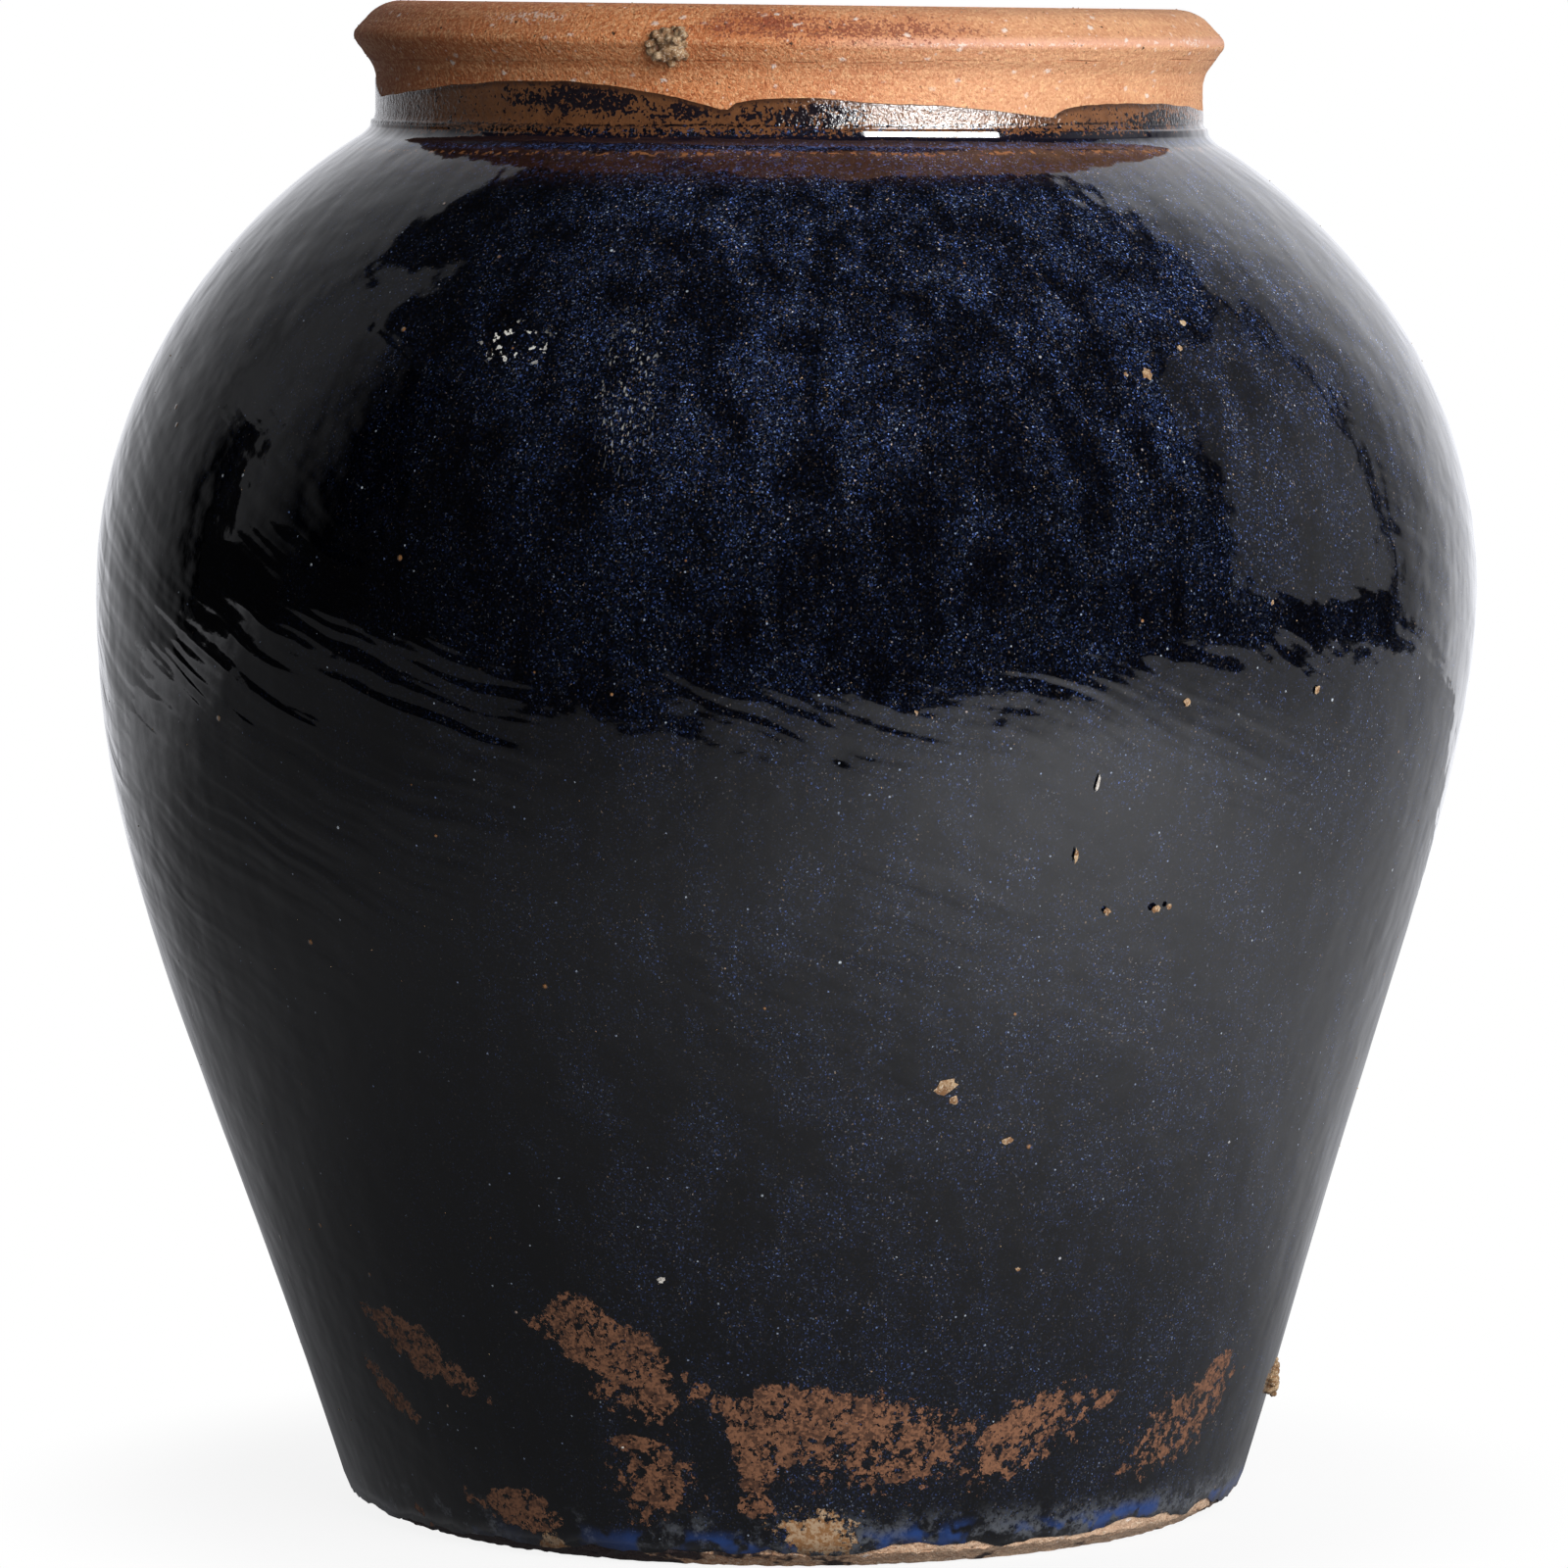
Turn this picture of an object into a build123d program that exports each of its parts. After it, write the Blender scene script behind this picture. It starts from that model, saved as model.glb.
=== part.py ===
"""A wide-bellied stoneware storage jar of the martaban kind.

The jar stands on the floor, which is z = 0, and its axis is Z. It is put together as a potter builds
such a jar: a flat base slab, a wall raised in three sections, a neck and a rolled rim, luted to each
other at scarfed seams, with a coil pressed into the corner of the floor. A thick glaze coats the
outside from above the heel to a lobed line on the neck, and a thinner one lines the inside. Two lumps
of kiln grit are stuck to it, one on the rim and one low on the wall. All lengths are in millimetres.
"""

import os
from math import cos, degrees, pi, radians, sin, tan

from build123d import *

# Driving dimensions of the clay body
height = 530.0
belly_diameter = 486.4
belly_height = 324.0
foot_diameter = 313.6
neck_diameter = 290.4
neck_depth = 49.0  # from the top of the rim down to the end of the shoulder
neck_wall = 10.2
base_thickness = 14.0
wall_at_foot = 13.0
wall_at_belly = 11.0
wall_at_shoulder = 9.5
heel_radius = 7.0

# The curves of the wall: leans from the vertical in degrees, and handles as shares of each span's rise
foot_lean = 16.7
shoulder_lean = 59.0
foot_handle_share = 0.589
belly_lower_handle_share = 0.243
belly_upper_handle_share = 0.549
shoulder_handle_share = 0.208

# The flare, where the neck grows out of the shoulder
flare_reach = 6.6
flare_rise = 10.5
flare_handle_share = 0.42
neck_inside_radius = 12.0

# The rolled rim: its depths are measured from its flat top
lip_overhang = 9.3
lip_depth = 23.5
nose_depth = 12.0
rim_land = 7.8
undercut_radius = 6.0
nose_radius = 3.4
rim_top_radius = 5.0
mouth_edge_radius = 2.0

# Seams between the sections, and the coil pressed into the corner of the floor
lower_seam_share = 0.52
scarf_angle = 25.0
corner_coil_radius = 18.0

# The glaze outside, whose top is a ring of lobes on the neck, and the lining inside
glaze_thickness = 1.2
glaze_start = 7.0
glaze_end_depth = 26.5
glaze_lobe_depth = 10.5
glaze_lobe_count = 7
glaze_lobe_turn = -75.0
lining_thickness = 0.8
lining_end_share = 0.95

# Lumps of kiln grit: sizes, turns about the axis in degrees, where each stands, and its gap to its seat
rim_lump_size = 15.0
rim_lump_turn = -104.9
rim_lump_standoff = 0.5
wall_lump_size = 14.0
wall_lump_turn = -8.0
wall_lump_sink = 1.0
wall_lump_share = 0.114
grit_clearance = 0.25
# Each grain of a lump: outwards, along and up from its middle, and its radius, as shares of its size
grain_shares = (
    (0.0, 0.0, 0.0, 0.36),
    (-0.06, 0.27, 0.06, 0.23),
    (-0.05, -0.26, -0.08, 0.24),
    (0.02, 0.1, 0.22, 0.22),
    (0.0, -0.12, -0.2, 0.24),
    (-0.04, -0.14, 0.2, 0.2),
)

# Places that follow from the sizes
belly_radius = belly_diameter / 2
foot_radius = foot_diameter / 2
neck_radius = neck_diameter / 2
mouth_radius = neck_radius - neck_wall
lip_radius = neck_radius + lip_overhang
land_radius = mouth_radius + rim_land
lip_start = height - lip_depth
shoulder_end = height - neck_depth
neck_start = shoulder_end + flare_rise
glaze_end = height - glaze_end_depth
cut_reach = height + belly_diameter
outline_shares = (0, 1 / 7, 2 / 7, 3 / 7, 4 / 7, 5 / 7, 6 / 7, 1)

foot_edge = Vector(foot_radius, 0)
belly_edge = Vector(belly_radius, belly_height)
shoulder_edge = Vector(neck_radius + flare_reach, shoulder_end)
neck_edge = Vector(neck_radius, neck_start)
lip_edge = Vector(neck_radius, lip_start)


def leaning(angle):
    """The direction that rises at this angle inwards from the vertical, in the half section."""
    return Vector(-sin(radians(angle)), cos(radians(angle)))


def span(start, end, start_direction, end_direction, start_share, end_share):
    """A smooth curve from start to end, whose handles are shares of its rise."""
    rise = end.Y - start.Y
    return Bezier(
        start,
        start + start_direction * rise * start_share,
        end - end_direction * rise * end_share,
        end,
    )


lower_span = span(
    foot_edge,
    belly_edge,
    leaning(-foot_lean),
    leaning(0),
    foot_handle_share,
    belly_lower_handle_share,
)
upper_span = span(
    belly_edge,
    shoulder_edge,
    leaning(0),
    leaning(shoulder_lean),
    belly_upper_handle_share,
    shoulder_handle_share,
)
flare_span = span(
    shoulder_edge,
    neck_edge,
    leaning(shoulder_lean),
    leaning(0),
    flare_handle_share,
    flare_handle_share,
)


def outward(curve, share):
    """The unit vector out of the wall at a share of one of its curves."""
    along = curve % share
    return Vector(along.Y, -along.X)


def beside(curve, start_depth, end_depth):
    """A curve beside another, as deep inside it as said at each end. A negative depth lies outside."""
    points = [
        curve @ share - outward(curve, share) * (start_depth + (end_depth - start_depth) * share)
        for share in outline_shares
    ]
    return Spline(*points, tangents=(curve % 0, curve % 1))


def clay_silhouette():
    """The half section inside the clay's outer face, from the foot to the top of the rim."""
    with BuildSketch() as face:
        with BuildLine():
            Line((0, 0), foot_edge)
            add(lower_span)
            add(upper_span)
            add(flare_span)
            FilletPolyline(
                neck_edge,
                lip_edge,
                (lip_radius, height - nose_depth),
                (land_radius, height),
                (0, height),
                radius=[undercut_radius, nose_radius, rim_top_radius],
            )
            Line((0, height), (0, 0))
        make_face()
    return face.sketch


def glazed_silhouette():
    """The half section inside the glaze's outer face, between the glaze's start and its end."""
    lower = beside(lower_span, -glaze_thickness, -glaze_thickness)
    upper = beside(upper_span, -glaze_thickness, -glaze_thickness)
    flare = beside(flare_span, -glaze_thickness, -glaze_thickness)
    with BuildSketch() as face:
        with BuildLine():
            Line((0, (lower @ 0).Y), lower @ 0)
            add(lower)
            add(upper)
            add(flare)
            Polyline(flare @ 1, ((flare @ 1).X, glaze_end), (0, glaze_end), (0, (lower @ 0).Y))
        make_face()
        with Locations((0, glaze_start)):
            Rectangle(
                belly_diameter,
                glaze_end - glaze_start,
                align=(Align.MIN, Align.MIN),
                mode=Mode.INTERSECT,
            )
    return face.sketch


def hollow(lining, corner_radius=0):
    """The half section of the jar's inside, within a lining. Its floor corner may be rounded."""
    floor = base_thickness + lining
    lower = beside(lower_span, wall_at_foot + lining, wall_at_belly + lining)
    upper = beside(upper_span, wall_at_belly + lining, wall_at_shoulder + lining)
    top = upper @ 1
    along = upper % 1
    neck_bottom = top.Y + (mouth_radius - top.X) * along.Y / along.X
    with BuildSketch() as face:
        with BuildLine():
            add(lower)
            add(upper)
            FilletPolyline(
                top,
                (mouth_radius, neck_bottom),
                (mouth_radius, height),
                radius=neck_inside_radius,
            )
            Polyline((mouth_radius, height), (0, height), (0, (lower @ 0).Y), lower @ 0)
        make_face()
        with Locations((0, floor)):
            Rectangle(belly_radius, height - floor, align=(Align.MIN, Align.MIN), mode=Mode.INTERSECT)
        if corner_radius:
            corner = face.vertices().group_by(Axis.Y)[0].sort_by(Axis.X)[-1]
            fillet(corner, corner_radius)
    return face.sketch


def seam(curve, share):
    """The line of a scarfed seam across the wall: its outer end, and its direction inwards."""
    inward = outward(curve, share) * -cos(radians(scarf_angle))
    return curve @ share, inward + (curve % share) * sin(radians(scarf_angle))


def side(seam_line, upwards):
    """The half plane above or below the line of a seam, as far as any cut needs."""
    end, way = seam_line
    across = Vector(way.Y, -way.X) * (cut_reach if upwards else -cut_reach)
    with BuildSketch() as half:
        with BuildLine():
            Polyline(
                end - way * cut_reach,
                end + way * cut_reach,
                end + way * cut_reach + across,
                end - way * cut_reach + across,
                close=True,
            )
        make_face()
    return half.sketch


slab_seam = (Vector(foot_radius, base_thickness), leaning(90))
lower_seam = seam(lower_span, lower_seam_share)
belly_seam = seam(upper_span, 0)
shoulder_seam = seam(upper_span, 1)
rim_seam = (lip_edge, leaning(90 - scarf_angle))

hollow_face = hollow(0)
cornered_face = hollow(0, corner_coil_radius)
clay_face = clay_silhouette() - hollow_face


def ring(label, face, low, high):
    """What lies between two seams of a half section, turned about the jar's axis."""
    with BuildPart() as turned:
        with BuildSketch(Plane.XZ):
            add(face)
            add(side(low, upwards=True), mode=Mode.INTERSECT)
            add(side(high, upwards=False), mode=Mode.INTERSECT)
        revolve(axis=Axis.Z)
    turned.part.label = label
    return turned


# The slab that the jar stands on, with its heel rounded off
with BuildPart() as base_slab:
    with BuildSketch(Plane.XZ):
        add(clay_face)
        add(side(slab_seam, upwards=False), mode=Mode.INTERSECT)
    revolve(axis=Axis.Z)
    fillet(base_slab.edges().group_by(Axis.Z)[0], heel_radius)
base_slab.part.label = "base_slab"

# The three sections of the wall, and the neck
lower_wall = ring("lower_wall", clay_face, slab_seam, lower_seam)
belly_wall = ring("belly_wall", clay_face, lower_seam, belly_seam)
shoulder_wall = ring("shoulder_wall", clay_face, belly_seam, shoulder_seam)
neck_ring = ring("neck_ring", clay_face, shoulder_seam, rim_seam)

# The rolled rim, whose inner edge is eased
with BuildPart() as rim_roll:
    with BuildSketch(Plane.XZ):
        add(clay_face)
        add(side(rim_seam, upwards=True), mode=Mode.INTERSECT)
    revolve(axis=Axis.Z)
    fillet(rim_roll.edges().group_by(Axis.Z)[-1].sort_by(SortBy.LENGTH)[0], mouth_edge_radius)
rim_roll.part.label = "rim_roll"

# The coil pressed into the corner between the floor and the wall
with BuildPart() as corner_coil:
    with BuildSketch(Plane.XZ):
        add(hollow_face)
        add(cornered_face, mode=Mode.SUBTRACT)
    revolve(axis=Axis.Z)
corner_coil.part.label = "corner_coil"

# The glaze outside: each lobe of its top is a round arch, and the gap above it is cut away
lobe_reach = (neck_radius + glaze_thickness) * sin(pi / glaze_lobe_count)
lobe_arch_radius = (lobe_reach**2 + glaze_lobe_depth**2) / (2 * glaze_lobe_depth)

lobe_half_width = belly_radius * tan(pi / glaze_lobe_count)

with BuildPart() as lobe_gap:
    with BuildSketch(Plane.XY.offset(glaze_end - 2 * glaze_lobe_depth)):
        with BuildLine():
            Polyline((0, 0), (belly_radius, -lobe_half_width), (belly_radius, lobe_half_width), close=True)
        make_face()
    extrude(amount=3 * glaze_lobe_depth)
    with BuildSketch(Plane.YZ):
        with Locations((0, glaze_end - lobe_arch_radius)):
            Circle(lobe_arch_radius)
    extrude(amount=belly_radius, mode=Mode.SUBTRACT)

with BuildPart() as outside_glaze:
    with BuildSketch(Plane.XZ):
        add(glazed_silhouette())
        add(clay_silhouette(), mode=Mode.SUBTRACT)
    revolve(axis=Axis.Z)
    with PolarLocations(0, glaze_lobe_count, start_angle=glaze_lobe_turn):
        add(lobe_gap.part, mode=Mode.SUBTRACT)
outside_glaze.part.label = "outside_glaze"

# The glaze inside, over the floor, the coil and the wall, which stops short of the neck
lining_seam = seam(upper_span, lining_end_share)
with BuildPart() as inside_glaze:
    with BuildSketch(Plane.XZ):
        add(cornered_face)
        add(hollow(lining_thickness, corner_coil_radius - lining_thickness), mode=Mode.SUBTRACT)
        add(side(lining_seam, upwards=False), mode=Mode.INTERSECT)
    revolve(axis=Axis.Z)
inside_glaze.part.label = "inside_glaze"


def kiln_grit(label, size, turn, place, carrier_face):
    """A lump of fused grains at a place of the half section, seated close on its carrier's surface."""
    seat_turn = degrees(size / place.X)
    seat_start = radians(turn - seat_turn)
    seat_plane = Plane(
        origin=(0, 0, 0),
        x_dir=(cos(seat_start), sin(seat_start), 0),
        z_dir=(sin(seat_start), -cos(seat_start), 0),
    )
    with BuildPart() as lump:
        with Locations(Location((0, 0, 0), (0, 0, turn)) * Location((place.X, 0, place.Y))):
            for outwards, along, up, grain in grain_shares:
                with Locations(Vector(outwards, along, up) * size):
                    Sphere(grain * size)
        with BuildSketch(seat_plane):
            with Locations((grit_clearance, 0)):
                add(carrier_face)
            with Locations(place):
                Rectangle(2 * size, 2 * size, mode=Mode.INTERSECT)
        revolve(axis=Axis.Z, revolution_arc=2 * seat_turn, mode=Mode.SUBTRACT)
    lump.part.label = label
    return lump


# The lump on the widest line of the rim, and the one low on the wall
rim_kiln_grit = kiln_grit(
    "rim_kiln_grit",
    rim_lump_size,
    rim_lump_turn,
    Vector(lip_radius + rim_lump_standoff, height - nose_depth),
    clay_silhouette(),
)
wall_kiln_grit = kiln_grit(
    "wall_kiln_grit",
    wall_lump_size,
    wall_lump_turn,
    lower_span @ wall_lump_share
    + outward(lower_span, wall_lump_share) * (glaze_thickness - wall_lump_sink),
    glazed_silhouette(),
)

sub_parts = [
    base_slab,
    corner_coil,
    lower_wall,
    belly_wall,
    shoulder_wall,
    neck_ring,
    rim_roll,
    outside_glaze,
    inside_glaze,
    rim_kiln_grit,
    wall_kiln_grit,
]

os.makedirs("parts", exist_ok=True)
for sub_part in sub_parts:
    export_step(sub_part.part, f"parts/{sub_part.part.label}.step")
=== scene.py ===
"""The looks of a wide-bellied stoneware storage jar of the martaban kind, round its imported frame.

The jar stands on the floor, z = 0, with its axis on Z. Azimuth 0 faces the camera, -Y, and grows to +X.
Every length is in metres. Half sections are lists of (radius, height) points that go up the outside and
come down the inside, so that the faces turned from them point outwards.
"""
import logging
import math
from dataclasses import dataclass, replace
from enum import Enum
from functools import reduce
from typing import Sequence, Union

import bmesh
import bpy
from mathutils import Matrix, Vector, noise


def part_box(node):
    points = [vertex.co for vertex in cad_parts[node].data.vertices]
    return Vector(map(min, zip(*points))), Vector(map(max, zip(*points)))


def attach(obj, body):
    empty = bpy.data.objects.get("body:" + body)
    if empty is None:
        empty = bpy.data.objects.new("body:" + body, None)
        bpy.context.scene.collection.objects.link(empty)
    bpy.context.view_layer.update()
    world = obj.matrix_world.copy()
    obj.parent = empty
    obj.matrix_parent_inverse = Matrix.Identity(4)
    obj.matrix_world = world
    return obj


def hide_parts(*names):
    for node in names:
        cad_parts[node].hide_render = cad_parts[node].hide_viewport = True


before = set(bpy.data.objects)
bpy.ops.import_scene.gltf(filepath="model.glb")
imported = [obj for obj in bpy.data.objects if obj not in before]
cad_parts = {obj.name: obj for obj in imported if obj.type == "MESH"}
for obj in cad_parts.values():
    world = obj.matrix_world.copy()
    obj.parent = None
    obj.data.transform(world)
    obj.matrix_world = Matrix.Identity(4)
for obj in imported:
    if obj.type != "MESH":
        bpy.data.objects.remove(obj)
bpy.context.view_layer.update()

logger = logging.getLogger("martaban_jar")

Colour = tuple[float, float, float]
Place = tuple[float, float, float]
Point = tuple[float, float]
Feed = Union["Wire", float, int, bool, str, Sequence[float], bpy.types.Material]

MM = 0.001
SHORTEST_CHORD = 0.02 * MM
MERGE_DISTANCE = 0.01 * MM
UNROLLING_RADIUS = 0.2
BODY = "root"


class Slot(Enum):
    """The record's material slots."""

    BARE_CLAY = "bare_clay"
    OUTSIDE_GLAZE = "outside_glaze"
    INSIDE_GLAZE = "inside_glaze"
    KILN_GRIT = "kiln_grit"


class Wire:
    """A node's output that takes part in arithmetic: an expression adds its Math nodes."""

    def __init__(self, bench: "Bench", socket: bpy.types.NodeSocket) -> None:
        """Keep the bench that the node stands on, and the node's socket."""
        self.bench = bench
        self.socket = socket

    def __add__(self, other: Feed) -> "Wire":
        """Self plus other."""
        return self.bench.math("ADD", self, other)

    __radd__ = __add__

    def __sub__(self, other: Feed) -> "Wire":
        """Self less other."""
        return self.bench.math("SUBTRACT", self, other)

    def __rsub__(self, other: Feed) -> "Wire":
        """Other less self."""
        return self.bench.math("SUBTRACT", other, self)

    def __mul__(self, other: Feed) -> "Wire":
        """Self times other."""
        return self.bench.math("MULTIPLY", self, other)

    __rmul__ = __mul__

    def __truediv__(self, other: Feed) -> "Wire":
        """Self over other."""
        return self.bench.math("DIVIDE", self, other)

    def __neg__(self) -> "Wire":
        """Self with its sign turned."""
        return self.bench.math("MULTIPLY", self, -1.0)

    def __abs__(self) -> "Wire":
        """Self without its sign."""
        return self.bench.math("ABSOLUTE", self)


class Bench:
    """A node tree, and the few ways in which this file adds nodes to it."""

    def __init__(self, tree: bpy.types.NodeTree) -> None:
        """Keep the tree that the nodes go into."""
        self.tree = tree

    def feed(self, socket: bpy.types.NodeSocket, value: Feed) -> None:
        """Link a wire to a socket, or set the socket to a plain value.

        Args:
            socket: the socket.
            value: what goes into it.
        """
        if isinstance(value, Wire):
            self.tree.links.new(value.socket, socket)
        else:
            socket.default_value = value

    def node(self, kind: str, settings: dict[str, object], inputs: dict) -> bpy.types.Node:
        """Add a node.

        Args:
            kind: the node's type.
            settings: its own settings, which are set before its sockets are looked up.
            inputs: values or wires, by the name or the number of the socket.

        Returns:
            The node.
        """
        node = self.tree.nodes.new(kind)
        for name, value in settings.items():
            setattr(node, name, value)
        for key, value in inputs.items():
            if isinstance(key, int):
                socket = node.inputs[key]
            else:
                socket = next(s for s in node.inputs if s.name == key and s.enabled)
            self.feed(socket, value)
        return node

    def wire(self, kind: str, settings: dict[str, object], inputs: dict, output: str = "") -> Wire:
        """Add a node and return one of its outputs, by name, or else its first one."""
        outputs = self.node(kind, settings, inputs).outputs
        return Wire(self, next(s for s in outputs if s.enabled and output in ("", s.name)))

    def math(self, operation: str, *values: Feed) -> Wire:
        """A Math node on up to three values."""
        return self.wire("ShaderNodeMath", {"operation": operation}, dict(enumerate(values)))

    def vector(self, operation: str, *values: Feed) -> Wire:
        """A Vector Math node on up to three vectors."""
        return self.wire("ShaderNodeVectorMath", {"operation": operation}, dict(enumerate(values)))

    def scaled(self, vector: Wire, size: Feed) -> Wire:
        """A vector times a number."""
        return self.wire("ShaderNodeVectorMath", {"operation": "SCALE"}, {"Vector": vector, "Scale": size})

    def join(self, x: Feed, y: Feed, z: Feed) -> Wire:
        """A vector made of three numbers."""
        return self.wire("ShaderNodeCombineXYZ", {}, {"X": x, "Y": y, "Z": z})

    def around(self, angle: Wire, radius: Feed, height: Feed) -> Wire:
        """A point on a cylinder round Z. A pattern that is looked up there closes on itself."""
        return self.join(self.math("COSINE", angle) * radius, self.math("SINE", angle) * radius, height)

    def split(self, vector: Wire) -> list[Wire]:
        """The three numbers of a vector."""
        node = self.node("ShaderNodeSeparateXYZ", {}, {0: vector})
        return [Wire(self, socket) for socket in node.outputs]

    def step(self, value: Feed, low: Feed, high: Feed) -> Wire:
        """A smooth step: 0 at low and 1 at high, or the other way round if low is the higher."""
        inputs = {"Value": value, "From Min": low, "From Max": high}
        return self.wire("ShaderNodeMapRange", {"interpolation_type": "SMOOTHSTEP"}, inputs)

    def hump(self, value: Feed, middle: Feed, half_width: float) -> Wire:
        """A smooth hump, 1 at the middle and 0 from half its width away."""
        return self.step(abs(value - middle), half_width, 0.0)

    def noise(self, vector: Wire, scale: float, detail: float = 1.0, roughness: float = 0.5) -> Wire:
        """A cloudy pattern from 0 to 1, whose clouds are about one over its scale across."""
        inputs = {"Vector": vector, "Scale": scale, "Detail": detail, "Roughness": roughness}
        return self.wire("ShaderNodeTexNoise", {}, inputs)

    def cells(self, vector: Wire, scale: float) -> tuple[Wire, Wire, Wire]:
        """Scattered points.

        Args:
            vector: where the pattern is looked up.
            scale: how many points there are to a metre.

        Returns:
            The distance to the nearest point, in cells, and two numbers drawn for that point.
        """
        node = self.node("ShaderNodeTexVoronoi", {}, {"Vector": vector, "Scale": scale})
        first, second, _ = self.split(Wire(self, node.outputs["Color"]))
        return Wire(self, node.outputs["Distance"]), first, second

    def dots(self, vector: Wire, scale: float, share: Feed, size: float) -> tuple[Wire, Wire]:
        """Scattered soft dots.

        Args:
            vector: where the pattern is looked up.
            scale: how many places for a dot there are to a metre.
            share: the share of the places that have one.
            size: a dot's radius, in spaces between places.

        Returns:
            Where the dots are, and a number drawn for each.
        """
        distance, draw, tint = self.cells(vector, scale)
        shown = self.math("LESS_THAN", draw, share)
        return shown * self.step(distance, size, size * 0.4), tint

    def field(self, name: str) -> Wire:
        """A number that the mesh carries at its points, read in a shader."""
        return self.wire("ShaderNodeAttribute", {"attribute_name": name}, {}, "Fac")

    def store(self, geometry: Wire, name: str, value: Wire) -> Wire:
        """Geometry that carries a number by name at its points."""
        inputs = {"Geometry": geometry, "Name": name, "Value": value}
        return self.wire("GeometryNodeStoreNamedAttribute", {"data_type": "FLOAT", "domain": "POINT"}, inputs)

    def drawn(self, low: Feed, high: Feed, seed: Feed) -> Wire:
        """A number, or a vector where its ends are vectors, drawn for each point."""
        settings = {"data_type": "FLOAT_VECTOR" if isinstance(low, tuple) else "FLOAT"}
        return self.wire("FunctionNodeRandomValue", settings, {"Min": low, "Max": high, "Seed": seed})

    def ramp(self, value: Wire, stops: Sequence[tuple[float, float]]) -> Wire:
        """A grey value that runs from stop to stop.

        Args:
            value: the place on the ramp, from 0 to 1.
            stops: the place and the grey of each stop, in rising order.

        Returns:
            The grey at that place.
        """
        node = self.node("ShaderNodeValToRGB", {}, {"Fac": value})
        elements = node.color_ramp.elements
        for place, _ in stops[2:]:
            elements.new(place)
        for element, (place, grey) in zip(elements, sorted(stops)):
            element.position = place
            element.color = (grey, grey, grey, 1.0)
        return Wire(self, node.outputs["Color"])

    def mix(self, share: Feed, start: Feed, end: Feed) -> Wire:
        """A colour between two, at a share of the way."""
        inputs = {"Factor": share, "A": self.colour(start), "B": self.colour(end)}
        return self.wire("ShaderNodeMix", {"data_type": "RGBA"}, inputs)

    @staticmethod
    def colour(value: Feed) -> Feed:
        """A plain colour with its alpha, or a wire as it is."""
        return value if isinstance(value, Wire) else (*value, 1.0)

    def least(self, values: Sequence[Wire]) -> Wire:
        """The least of several values."""
        return reduce(lambda found, value: self.math("MINIMUM", found, value), values)


def between(share: Feed, start: Feed, end: Feed) -> Feed:
    """A number between two, at a share of the way."""
    return start + (end - start) * share


@dataclass(frozen=True)
class Marks:
    """The coordinates that a finish is drawn in. Side is -1 at the jar's left, 1 at its right, 0 between."""

    bench: Bench
    place: Wire
    azimuth: Wire
    side: Wire
    height: Wire


@dataclass(frozen=True)
class Blot:
    """A mark at a place of the wall: azimuth in degrees, height, half its width and height, and its turn."""

    azimuth: float
    height: float
    half_width: float
    half_height: float
    turn: float = 0.0

    def reach(self, bench: Bench, azimuth: Wire, height: Wire) -> Wire:
        """How far a point lies from the mark's middle, unrolled on a cylinder.

        Args:
            bench: where the nodes go.
            azimuth: the point's azimuth, in radians.
            height: the point's height.

        Returns:
            The distance, which is 1 on the mark's own ellipse.
        """
        across = (azimuth - math.radians(self.azimuth)) * UNROLLING_RADIUS
        up = height - self.height
        cosine, sine = math.cos(math.radians(self.turn)), math.sin(math.radians(self.turn))
        along = across * (cosine / self.half_width) + up * (sine / self.half_width)
        beside = up * (cosine / self.half_height) - across * (sine / self.half_height)
        return bench.math("SQRT", along * along + beside * beside)


def mark(azimuth: float, height: float, width: float, tall: float, turn: float = 0.0) -> Blot:
    """A blot whose height and half sizes are said in millimetres."""
    return Blot(azimuth, height * MM, width * MM, tall * MM, turn)


def nearness(bench: Bench, azimuth: Wire, height: Wire, blots: Sequence[Blot]) -> Wire:
    """How far inside the nearest of some marks a point is: 1 at a middle, 0 on an outline, less outside."""
    return 1.0 - bench.least([blot.reach(bench, azimuth, height) for blot in blots])


class Finish:
    """What the finishes share: a new material, and a way to close it with its surface."""

    name: str

    def start(self) -> tuple[bpy.types.Material, Marks]:
        """Start a material.

        Returns:
            The material, which has no surface yet, and the coordinates on it.
        """
        material = bpy.data.materials.new(self.name)
        material.use_nodes = True
        material.node_tree.nodes.clear()
        bench = Bench(material.node_tree)
        place = bench.wire("ShaderNodeTexCoord", {}, {}, "Object")
        x, y, z = bench.split(place)
        azimuth = bench.math("ARCTAN2", x, -y)
        return material, Marks(bench, place, azimuth, bench.math("SINE", azimuth), z)

    @staticmethod
    def close(marks: Marks, colour: Feed, roughness: Feed, height: Wire, sheen_level: float = 0.5) -> None:
        """Join what a finish has drawn into the material's surface.

        Args:
            marks: the coordinates, with the bench of the material.
            colour: the base colour.
            roughness: the roughness.
            height: the relief, in metres.
            sheen_level: how strongly the surface mirrors.
        """
        bench = marks.bench
        normal = bench.wire("ShaderNodeBump", {}, {"Strength": 1.0, "Distance": 1.0, "Height": height})
        surface = bench.wire(
            "ShaderNodeBsdfPrincipled",
            {},
            {
                "Base Color": bench.colour(colour),
                "Roughness": roughness,
                "Normal": normal,
                "Specular IOR Level": sheen_level,
            },
        )
        bench.node("ShaderNodeOutputMaterial", {}, {"Surface": surface})


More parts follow.
